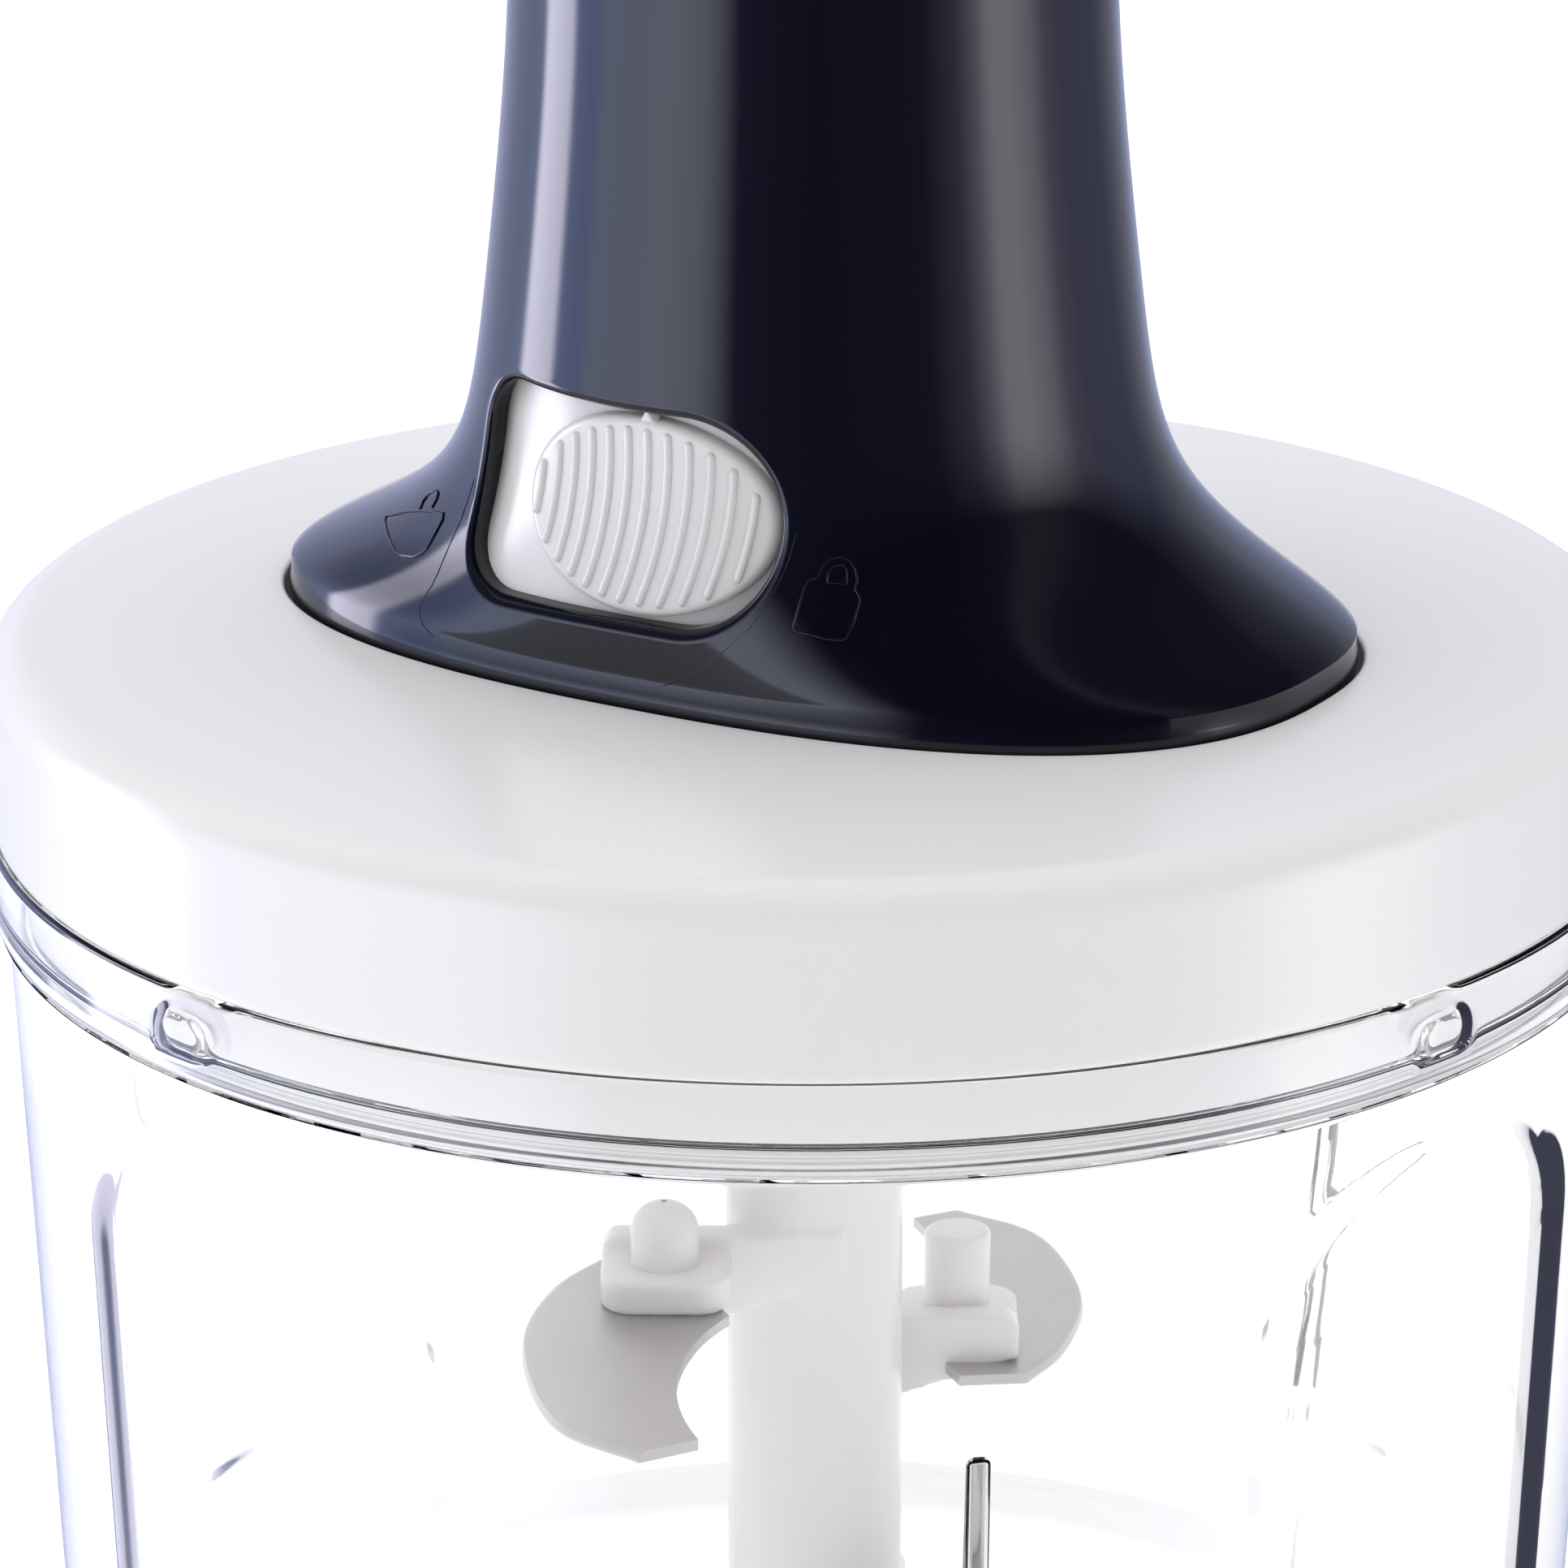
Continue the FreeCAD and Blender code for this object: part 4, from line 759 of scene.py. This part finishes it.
edge_curve = smooth_through([Vector(place) for place in ground_edge], 9)
blade_outline = edge_curve + [hook] + arc_through(hook, hollow_middle, hollow_start, 30) + [heel]


def blade(name, node, place):
    """One crescent, thickened from its outline and ground along its long edge."""
    degrees, level = arm_places[place]
    piece = plate_of(name, blade_outline, level - blade_thickness, blade_thickness)
    begin_shaping(piece)
    pick("verts", lambda point: point.co.z > (level - 0.1) * mm and min(
        (point.co.xy / mm - mark).length for mark in edge_curve) < 0.05)
    bpy.ops.mesh.bevel(offset=grind_width * mm, segments=2, affect="EDGES")
    close_shaping(piece, 20)
    piece.rotation_euler.z = radians(degrees)
    close_shaping(piece, 20)
    piece.data.materials.append(blade_steel)
    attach(piece, "blades")
    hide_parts(node)


blade("crescent_upper_left", "upper_blade_left", "upper_left")
blade("crescent_upper_right", "upper_blade_right", "upper_right")
blade("crescent_lower_front", "lower_blade_front", "lower_front")
blade("crescent_lower_back", "lower_blade_back", "lower_back")


# ---- Bush, underplate, seal and lid screws -----------------------------------------------------
# The lid's lower half is a white plate with a skirt inside the bowl's collar and a plug in the
# bowl's mouth. A soft ring seals the plug, and four screws pull the plate up to the lid's posts.

def dress(material, *nodes):
    """Gives carried-over solids a finish on all their material slots."""
    for node in nodes:
        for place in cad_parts[node].material_slots:
            place.material = material


bearing_plastic = moulded_plastic("bearing_plastic", (0.74, 0.72, 0.66), 0.34, 0.004, {},
                                  Ripple_Scale=420.0, Grain_Share=0.3, Drift=0.03, Gloss_Drift=0.1)
soft_seal = moulded_plastic("soft_seal", (0.78, 0.78, 0.78), 0.45, 0.008, {},
                            Ripple_Scale=700.0, Grain_Share=0.5, Drift=0.03, Gloss_Drift=0.1)
dress(bearing_plastic, "shaft_bush")
dress(white_plastic, "lid_underplate")
dress(steel, "lid_screws")

seal_outline = rounded([(77.15, 114.1), (78.1, 114.1, 0.3), (79.25, 114.65, 0.4), (78.6, 115.2, 0.3),
                        (79.25, 115.75, 0.4), (78.1, 116.3, 0.3), (77.15, 116.3)], steps=3, closed=True)
seal = turned_piece("lid_seal_soft", seal_outline, rounds=192)
close_shaping(seal, 60)
seal.data.materials.append(soft_seal)
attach(seal, "lid")
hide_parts("lid_seal")


# ---- Lid shell ---------------------------------------------------------------------------------
# The glossy white cover, moulded in one with the oval seat that the handle's foot drops into.
# Its rim is well rounded, and the seat's edge is softened so that the foot finds its place.

lid_radius = 84.0
lid_top = 142.7
lid_edge = 4.0
lid_under = 136.3
lid_ceiling = 140.2
bore_radius = 25.5
seat_half_length = 57.7
seat_half_width = 36.5
seat_squareness = 2.45
seat_floor = 138.5
seat_lip = 0.5
seat_foot_round = 1.0


def oval_place(turn, half_length, half_width, squareness, z):
    """A point on an oval whose squareness is 2 for an ellipse and more for fuller corners."""
    c, s = cos(turn), sin(turn)
    return Vector((half_length * copysign(abs(c) ** (2 / squareness), c),
                   half_width * copysign(abs(s) ** (2 / squareness), s), z)) * mm


def drawn_loop(name, loops):
    """A band made from loops of equally many points, each extruded from the one before."""
    bpy.ops.object.select_all(action="DESELECT")
    bpy.context.tool_settings.mesh_select_mode = (True, False, False)
    bpy.ops.mesh.primitive_circle_add(vertices=len(loops[0]), radius=mm)
    piece = bpy.context.object
    piece.name = name
    bpy.ops.object.mode_set(mode="EDIT")
    bpy.ops.mesh.select_all(action="SELECT")
    body = bmesh.from_edit_mesh(piece.data)
    order = body.verts.layers.int.new("order")
    for number, point in enumerate(body.verts):
        point[order] = number
    bmesh.update_edit_mesh(piece.data)
    for number, loop in enumerate(loops):
        if number:
            bpy.ops.mesh.extrude_region_move()
        body = bmesh.from_edit_mesh(piece.data)
        order = body.verts.layers.int["order"]
        for point in body.verts:
            if point.select:
                point.co = loop[point[order]]
        bmesh.update_edit_mesh(piece.data)
    return piece


def oval_piece(name, rings, points=192, closed=False):
    """Draws a wall out ring by ring; each ring is (half length, half width, squareness, height)."""
    turns = [pi / 2 + 2 * pi * k / points for k in range(points)]
    piece = drawn_loop(name, [[oval_place(turn, *ring) for turn in turns]
                              for ring in rings + ([rings[0]] if closed else [])])
    if closed:
        bpy.ops.mesh.select_all(action="SELECT")
        bpy.ops.mesh.remove_doubles(threshold=weld)
    return piece


def quarter(steps):
    """The turns of a quarter round, from 0 to 90 degrees."""
    return [pi / 2 * k / steps for k in range(steps + 1)]


def round_ring(radius, z):
    """A round ring for oval_piece."""
    return radius, radius, 2.0, z


lid_rings = [round_ring(bore_radius, lid_under), round_ring(bore_radius, seat_floor - 0.2),
             round_ring(bore_radius + 0.2, seat_floor), (30.0, 30.0, 2.05, seat_floor),
             (44.0, 33.0, 2.3, seat_floor)]
for lean in quarter(6):
    draw_in = seat_foot_round * (1 - sin(lean))
    lid_rings.append((seat_half_length - draw_in, seat_half_width - draw_in, seat_squareness,
                      seat_floor + seat_foot_round * (1 - cos(lean))))
for lean in quarter(8):
    spread = seat_lip * (1 - cos(lean))
    lid_rings.append((seat_half_length + spread, seat_half_width + spread, seat_squareness,
                      lid_top - seat_lip + seat_lip * sin(lean)))
for share in (0.015, 0.25, 0.5, 0.75, 0.985):
    flat_half_length = seat_half_length + 1.0 + (lid_radius - lid_edge - seat_half_length - 1.0) * share
    flat_half_width = seat_half_width + 1.0 + (lid_radius - lid_edge - seat_half_width - 1.0) * share
    squareness = seat_squareness + (2.0 - seat_squareness) * share
    lid_rings.append((flat_half_length, flat_half_width, squareness, lid_top))
for lean in quarter(10):
    lid_rings.append(round_ring(lid_radius - lid_edge + lid_edge * sin(lean),
                                lid_top - lid_edge + lid_edge * cos(lean)))
lid_rings += [round_ring(lid_radius, z) for z in (138.2, 134.0, 129.0, 125.1, 124.5)]
lid_rings += [round_ring(radius, z) for radius, z in (
    (83.85, 124.15), (83.5, 124.02), (82.0, 124.02), (81.6, 124.3), (81.6, 137.6), (80.8, 139.4),
    (79.0, lid_ceiling))]
lid_rings += [(61.0, 39.8, seat_squareness, lid_ceiling), (60.8, 39.6, seat_squareness, lid_under),
              (30.0, 30.0, 2.05, lid_under)]
lid = oval_piece("lid_cover", lid_rings, points=256, closed=True)
turn_outwards()
close_shaping(lid, 60)
lid.data.materials.append(white_plastic)
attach(lid, "lid")
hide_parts("lid_shell")


# ---- Guide tower, hub, rod and their small parts -----------------------------------------------
# A white tube screwed up into the lid from below, with two keyways that keep the handle straight.
# Under it the drive nut turns between two natural-coloured thrust washers. The twisted rod, its
# pin, the spring seats and all screws are steel.

dress(white_plastic, "guide_tower")
dress(bearing_plastic, "drive_hub", "lower_thrust_washer", "upper_thrust_washer")
dress(steel, "tower_screws", "lower_spring_seat", "upper_spring_seat", "drive_rod", "rod_pin", "rod_screws",
      "foot_screws", "keeper_screws")


# ---- Return spring -----------------------------------------------------------------------------
# Drawn steel wire wound in nine turns between the two seats. It lifts the handle when the lock is
# off, and it stretches between the lid and the handle.

spring_radius = 16.5
spring_wire = 1.0
spring_turns = 9
spring_bottom = 131.25
spring_top = 213.7

bpy.ops.object.select_all(action="DESELECT")
bpy.ops.mesh.primitive_circle_add(vertices=14, radius=spring_wire * mm, rotation=(pi / 2, 0, 0),
                                  location=(spring_radius * mm, 0, (spring_bottom + spring_wire) * mm))
spring = bpy.context.object
spring.name = "spring_wire"
close_shaping(spring)
use_modifier(spring, "SCREW", axis="Z", angle=2 * pi, iterations=spring_turns, steps=48, render_steps=48,
             screw_offset=(spring_top - spring_bottom - 2 * spring_wire) / spring_turns * mm)
begin_shaping(spring)
bpy.ops.mesh.select_mode(type="EDGE")
bpy.ops.mesh.select_non_manifold()
bpy.ops.mesh.edge_face_add()
turn_outwards()
close_shaping(spring, 50)
spring.data.materials.append(steel)
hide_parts("return_spring")
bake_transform(spring)


# ---- Handle body -------------------------------------------------------------------------------
# The tall navy shell: a wide oval foot that flares up into a round neck, and swells again under
# the palm. The lock's window is cut in its front, with a rounded lip let in round it, and a raised
# open and closed padlock stand on each side of the window.

foot_bottom = 139.7
foot_half_length = 57.2
foot_half_width = 36.0
foot_squareness = 2.45
foot_rim = 5.4
foot_rim_round = 1.2
foot_sink = 3.0
waist_half_width = 35.3
neck_radius = 29.9
neck_height = 75.0
flare_reach = 8.6
flare_power = 1.4
palm_z = 241.7
palm_half_length = 40.5
palm_half_width = 34.5
palm_seam = 0.35
handle_wall = 2.0
window_left = -21.0
window_right = 15.0
window_bottom = 150.7
window_top = 171.5
window_corner = 5.5
window_step = 1.2
lip_width = 1.2
lip_depth = 3.4

navy_plastic = moulded_plastic("navy_plastic", (0.0035, 0.0036, 0.0095), 0.085, 0.0035, {"IOR": 1.5},
                               Ripple_Scale=210.0, Grain_Scale=3000.0, Grain_Share=0.05, Drift=0.25,
                               Gloss_Drift=0.06)


def handle_oval(z):
    """Half length, half width and squareness of the handle's outside at a height."""
    height = z - lid_top
    if height > neck_height:
        swell = eased((height - neck_height) / (palm_z - lid_top - neck_height))
        return (neck_radius + (palm_half_length - neck_radius) * swell,
                neck_radius + (palm_half_width - neck_radius) * swell, 2.0)
    if z < foot_bottom + foot_rim * 0.88:
        lift = asin(max((z - foot_bottom) / foot_rim * 2 - 1, -1.0))
        draw_in = foot_rim_round * (1 - cos(lift))
        return foot_half_length - draw_in, foot_half_width - draw_in, foot_squareness
    swell = (1 + cos(pi * max(height, 0) / neck_height)) / 2
    half_width = neck_radius + (waist_half_width - neck_radius) * swell
    rise = max(height + foot_sink - foot_rim, 0)
    share = exp(-(rise / flare_reach) ** flare_power)
    half_length = half_width + (foot_half_length - waist_half_width) * share
    return half_length, half_width, 2 + (foot_squareness - 2) * share


def handle_front(x, z, out=0.0):
    """The point on the handle's front face at x and z in millimetres, raised by out."""
    half_length, half_width, squareness = handle_oval(z)
    y = half_width * (1 - abs(x / half_length) ** squareness) ** (1 / squareness)
    return Vector((x, -y - out, z)) * mm


outer_heights = [foot_bottom + foot_rim / 2 * (1 + sin(radians(lift)))
                 for lift in (-90, -78, -64, -48, -30, -12, 6, 24, 38)]
outer_heights += [145.0 + 72.7 * (i / 44) ** 1.5 for i in range(1, 45)]
outer_heights += [lid_top + neck_height + (palm_z - lid_top - neck_height) * i / 12 for i in range(1, 13)]
handle_rings = [(*handle_oval(z), z) for z in outer_heights]
handle_rings.append((palm_half_length - palm_seam, palm_half_width - palm_seam, 2.0, palm_z))
handle_rings += [(a - handle_wall, b - handle_wall, n, z)
                 for a, b, n, z in [(*handle_oval(z), z) for z in outer_heights[::-3]]]
handle = oval_piece("handle_body", handle_rings, closed=True)
turn_outwards()
close_shaping(handle)


def window_outline(out):
    """Window's outline in x and z, moved outwards: square-cornered left, round on the right."""
    corner = window_corner + out
    big = (window_top - window_bottom) / 2 + out
    left, right = window_left - out, window_right + out
    low, high = window_bottom - out, window_top + out
    arcs = [((right - big, low + big), big, -90, 90, 48),
            ((left + corner, high - corner), corner, 90, 180, 12),
            ((left + corner, low + corner), corner, 180, 270, 12)]
    outline = []
    for (x, z), radius, start, end, steps in arcs:
        for angle in [radians(start + (end - start) * k / steps) for k in range(steps + 1)]:
            outline.append(Vector((x + radius * cos(angle), z + radius * sin(angle))))
    filled = []
    for here, there in zip(outline, outline[1:] + outline[:1]):
        pieces = max(1, round((there - here).length / window_step))
        filled += [here.lerp(there, k / pieces) for k in range(pieces)]
    return filled


hole = window_outline(lip_width - 0.15)
cutter = drawn_loop("window_cutter", [[Vector((p.x, y, p.y)) * mm for p in hole] for y in (-60.0, -20.0)])
for end in (-1, 1):
    pick("verts", lambda point: (point.co.y + 40.0 * mm) * end > 0)
    bpy.ops.mesh.edge_face_add()
turn_outwards()
close_shaping(cutter)
use_modifier(handle, "BOOLEAN", operation="DIFFERENCE", object=cutter, solver="EXACT")
bpy.data.objects.remove(cutter)
close_shaping(handle, 35)
handle.data.materials.clear()
handle.data.materials.append(navy_plastic)
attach(handle, "handle")
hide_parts("handle_shell")


def window_ring(grown, out):
    """The window's outline, grown by so much and raised off the handle's front; in millimetres."""
    return [handle_front(p.x, p.y, out) for p in window_outline(grown)]


lip_loops = [window_ring(lip_width + 0.1, -1.0), window_ring(lip_width, 0.02)]
lip_loops += [window_ring(lip_width * (1 - sin(lean)), 0.04 - lip_width * (1 - cos(lean)))
              for lean in quarter(8)[1:]]
lip_loops += [window_ring(0.0, -1.5), window_ring(0.0, -lip_depth), window_ring(lip_width, -lip_depth)]
lip = drawn_loop("window_lip", lip_loops)
turn_outwards()
close_shaping(lip, 55)
lip.data.materials.append(navy_plastic)
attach(lip, "handle")


def wire_piece(name, places, thickness, closed=False, swell=None):
    """A round wire along places in metres; swell gives its share of the thickness at each."""
    curve = bpy.data.curves.new(name, "CURVE")
    curve.dimensions = "3D"
    curve.bevel_depth = thickness * mm
    curve.bevel_resolution = 3
    curve.use_fill_caps = swell is None
    line = curve.splines.new("POLY")
    line.points.add(len(places) - 1)
    line.use_cyclic_u = closed
    for point, place, share in zip(line.points, places, swell or [1.0] * len(places)):
        point.co = (*place, 1)
        point.radius = share
    piece = bpy.data.objects.new(name, curve)
    bpy.context.scene.collection.objects.link(piece)
    select_only(piece)
    bpy.ops.object.convert(target="MESH")
    return bpy.context.object


def handle_mark(name, thickness, lines):
    """A raised sign or seam as it comes from the mould; its lines are (places (x, z), closed)."""
    wires = []
    for places, closed in lines:
        wires.append(wire_piece(name, [handle_front(x, z) for x, z in places], thickness, closed))
        close_shaping(wires[-1], 50)
    mark = join_pieces(name, wires)
    mark.data.materials.append(navy_plastic)
    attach(mark, "handle")


handle_mark("sign_closed", 0.13, [
    ([(17.5, 152.8), (17.6, 152.5), (17.9, 152.3), (19.3, 152.1), (20.9, 151.8), (22.3, 151.8), (22.6, 152.0),
      (22.9, 153.3), (23.0, 155.3), (22.9, 155.7), (22.4, 156.3), (22.4, 157.1), (22.1, 158.1), (21.5, 158.9),
      (20.7, 159.3), (19.9, 159.1), (19.3, 158.5), (19.1, 157.9), (19.0, 157.3), (18.5, 157.2), (18.2, 157.0),
      (18.0, 156.4), (17.8, 155.1)], True),
    ([(19.9, 156.9), (19.8, 157.8), (20.2, 158.4), (20.9, 158.6), (21.4, 158.1), (21.6, 156.8)], True)])
handle_mark("sign_open", 0.17, [
    ([(-38.2, 152.1), (-37.8, 151.9), (-35.5, 151.5), (-32.7, 150.9), (-31.5, 150.9), (-29.3, 151.3),
      (-28.2, 151.9), (-27.7, 152.4), (-27.2, 153.8), (-26.7, 155.2), (-26.9, 155.7), (-29.2, 155.2),
      (-31.5, 154.6), (-34.5, 153.6)], True),
    ([(-31.9, 154.6), (-32.1, 155.2), (-31.6, 156.0), (-30.4, 156.7), (-29.5, 156.7), (-29.3, 156.2),
      (-29.6, 155.4)], False)])
handle_mark("window_seams", 0.06, [
    ([(-22.7, 160.1), (-23.0, 158.5), (-23.5, 156.1), (-23.9, 154.8), (-24.3, 153.5), (-24.6, 152.2),
      (-24.9, 150.9), (-25.3, 149.7), (-26.0, 148.5), (-26.4, 147.4), (-26.2, 146.6), (-25.5, 145.8),
      (-24.3, 145.2), (-22.9, 144.8), (-21.6, 144.5)], False),
    ([(16.6, 161.3), (16.3, 159.1), (15.9, 157.6), (15.3, 156.0), (14.6, 154.5), (13.3, 152.2), (10.6, 149.5),
      (8.0, 147.0), (5.3, 145.6), (2.5, 144.5)], False)])


# ---- Palm cap and foot plate -------------------------------------------------------------------
# The push pad is a domed navy cap snapped into the shell's top. A navy plate closes the foot, and
# its collar slides on the guide tower, held from turning by two keys.

palm_rim = 3.0
palm_dome = 12.0
palm_plug_z = 236.7
palm_plug_length = 30.0
palm_plug_width = 24.0

cap_rings = [(palm_plug_length, palm_plug_width, 2.0, palm_plug_z), (36.4, 30.6, 2.0, palm_plug_z),
             (37.6, 31.8, 2.0, palm_z - 0.3)]
for inset, rise in ((0.7, 0.02), (palm_seam, 0.1), (0.05, 0.45), (0.0, 0.8), (0.0, palm_rim - 0.2)):
    cap_rings.append((palm_half_length - inset, palm_half_width - inset, 2.0, palm_z + rise))
for lean in [radians(88.0 * k / 20) for k in range(21)]:
    cap_rings.append((palm_half_length * cos(lean), palm_half_width * cos(lean), 2.0,
                      palm_z + palm_rim + (palm_dome - 0.2) * sin(lean)))
cap = oval_piece("palm_pad", cap_rings)
bpy.ops.mesh.merge(type="CENTER")
pick("verts", lambda point: point.co.z < (palm_plug_z + 0.01) * mm and hypot(
    point.co.x / palm_plug_length, point.co.y / palm_plug_width) < 1.001 * mm)
bpy.ops.mesh.edge_face_add()
turn_outwards()
close_shaping(cap, 50)
cap.data.materials.append(navy_plastic)
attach(cap, "handle")
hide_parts("palm_cap")
dress(navy_plastic, "foot_plate")
dress(white_plastic, "rod_head")


# ---- Lock slide and its keeper -----------------------------------------------------------------
# A curved white slide runs behind the window, with a proud oval pad for the thumb. Twelve bowed
# ribs cross the pad, and a small nub at its top points at the padlock signs. A white keeper screwed
# in from behind holds the slide in its track.

slide_bottom = 147.7
slide_top = 174.5
slide_bottom_radius = 32.9
slide_top_radius = 30.9
slide_thickness = 1.4
slide_left = 46.0
slide_right = 50.0
slide_row_count = 16
pad_middle_x = 0.0
pad_middle_z = 161.1
pad_half_width = 14.2
pad_half_height = 9.9
pad_rise = 1.4
pad_edge = 0.9
pad_sink = 1.2
rib_count = 12
rib_pitch = 2.2
rib_half_width = 0.45
rib_bow = 34.0
rib_margin = 1.0

slide_foot = Vector((slide_bottom_radius, slide_bottom))
slide_head = Vector((slide_top_radius, slide_top))
slide_rows = [slide_foot.lerp(slide_head, k / slide_row_count) for k in range(1, slide_row_count)]
slide = turned_piece("lock_slide", rounded(
    [(slide_bottom_radius - slide_thickness, slide_bottom), (slide_bottom_radius, slide_bottom, 0.3)]
    + [tuple(row) for row in slide_rows]
    + [(slide_top_radius, slide_top, 0.3), (slide_top_radius - slide_thickness, slide_top)]
    + [(row.x - slide_thickness, row.y) for row in reversed(slide_rows)], closed=True),
    rounds=72, sweep=radians(slide_left + slide_right))
close_shaping(slide)
slide.rotation_euler.z = radians(slide_right - 90.0)
close_shaping(slide)


def slide_swell(bearing_here, z):
    """How far the slide's left half is drawn out beyond its round, to follow the handle's flank."""
    if bearing_here >= 0:
        return 0.0
    half_length, half_width, squareness = handle_oval(z)
    flank = ((sin(-bearing_here) / half_length) ** squareness
             + (cos(bearing_here) / half_width) ** squareness) ** (-1 / squareness)
    return flank - half_width


def slide_face(x, z, out):
    """The point over the slide's curved face at x and z, raised by out; all in millimetres."""
    share = (z - slide_bottom) / (slide_top - slide_bottom)
    round_radius = slide_bottom_radius + (slide_top_radius - slide_bottom_radius) * share + out
    radius = round_radius
    for step in range(6):
        radius = round_radius + slide_swell(asin(x / radius), z)
    return Vector((x, -sqrt(radius * radius - x * x), z)) * mm


def follow_flank(place):
    """Draws the slide's left half out to the handle's flank."""
    radius = hypot(place.x, place.y)
    grown = 1 + slide_swell(atan2(place.x, -place.y), place.z / mm) * mm / radius
    return Vector((place.x * grown, place.y * grown, place.z))


begin_shaping(slide)
press(follow_flank)
bpy.ops.mesh.select_mode(type="EDGE")
bpy.ops.mesh.select_non_manifold()
bpy.ops.mesh.edge_face_add()
turn_outwards()
close_shaping(slide, 40)

pad_rings = [(pad_half_width, pad_half_height, -pad_sink)]
for lean in quarter(7):
    inset = pad_edge * (1 - cos(lean))
    pad_rings.append((pad_half_width - inset, pad_half_height - inset,
                      pad_rise - pad_edge + pad_edge * sin(lean)))
pad_rings += [((pad_half_width - pad_edge) * share, (pad_half_height - pad_edge) * share, pad_rise)
              for share in (0.985, 0.85, 0.7, 0.55, 0.4, 0.25, 0.1)]
turns = [2 * pi * k / 112 for k in range(112)]
thumb_pad = drawn_loop("thumb_pad", [
    [slide_face(pad_middle_x + a * cos(t), pad_middle_z + b * sin(t), out) for t in turns]
    for a, b, out in pad_rings])
bpy.ops.mesh.merge(type="CENTER")
turn_outwards()
close_shaping(thumb_pad, 60)


def thumb_rib(line_x):
    """One bowed rib over the pad, with rounded ends, through line_x above the pad's middle."""
    def rib_x(z):
        drop = pad_middle_z + pad_half_height / 2 - z
        return line_x - rib_bow + sqrt(rib_bow * rib_bow - drop * drop)

    on_pad = [z for z in [pad_middle_z + 0.05 * k for k in range(-220, 221)]
              if ((rib_x(z) - pad_middle_x) / (pad_half_width - rib_margin)) ** 2
              + ((z - pad_middle_z) / (pad_half_height - rib_margin)) ** 2 < 1]
    low, length = on_pad[0], on_pad[-1] - on_pad[0]
    end_steps = [0.0, 0.02, 0.08, 0.2, 0.4]
    stations = end_steps + [0.45 + k * (length - 0.9) / 12 for k in range(13)]
    stations += [length - step for step in reversed(end_steps)]
    swell = [max(sqrt(max(1 - (1 - min(min(s, length - s) / rib_half_width, 1)) ** 2, 0)), 0.02)
             for s in stations]
    rib = wire_piece("thumb_rib", [slide_face(rib_x(low + s), low + s, pad_rise) for s in stations],
                     rib_half_width, swell=swell)
    close_shaping(rib)
    return rib


thumb_ribs = [thumb_rib(pad_middle_x + rib_pitch * (i - (rib_count - 1) / 2)) for i in range(rib_count)]

bpy.ops.mesh.primitive_cone_add(vertices=3, radius1=1.3 * mm, radius2=0.9 * mm, depth=1.6 * mm,
                                rotation=(pi / 2, 0, 0))
nub = bpy.context.object
close_shaping(nub)
begin_shaping(nub)
bpy.ops.mesh.select_all(action="SELECT")
bpy.ops.mesh.bevel(offset=0.25 * mm, segments=3, affect="EDGES")
bpy.ops.transform.translate(value=slide_face(1.0, pad_middle_z + pad_half_height + 0.1, pad_rise - 0.4))
close_shaping(nub)

lock = join_pieces("lock_slide", [slide, thumb_pad, nub] + thumb_ribs)
lock.data.materials.clear()
lock.data.materials.append(white_plastic)
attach(lock, "lock")
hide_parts("lock_slider")
dress(white_plastic, "slider_keeper")
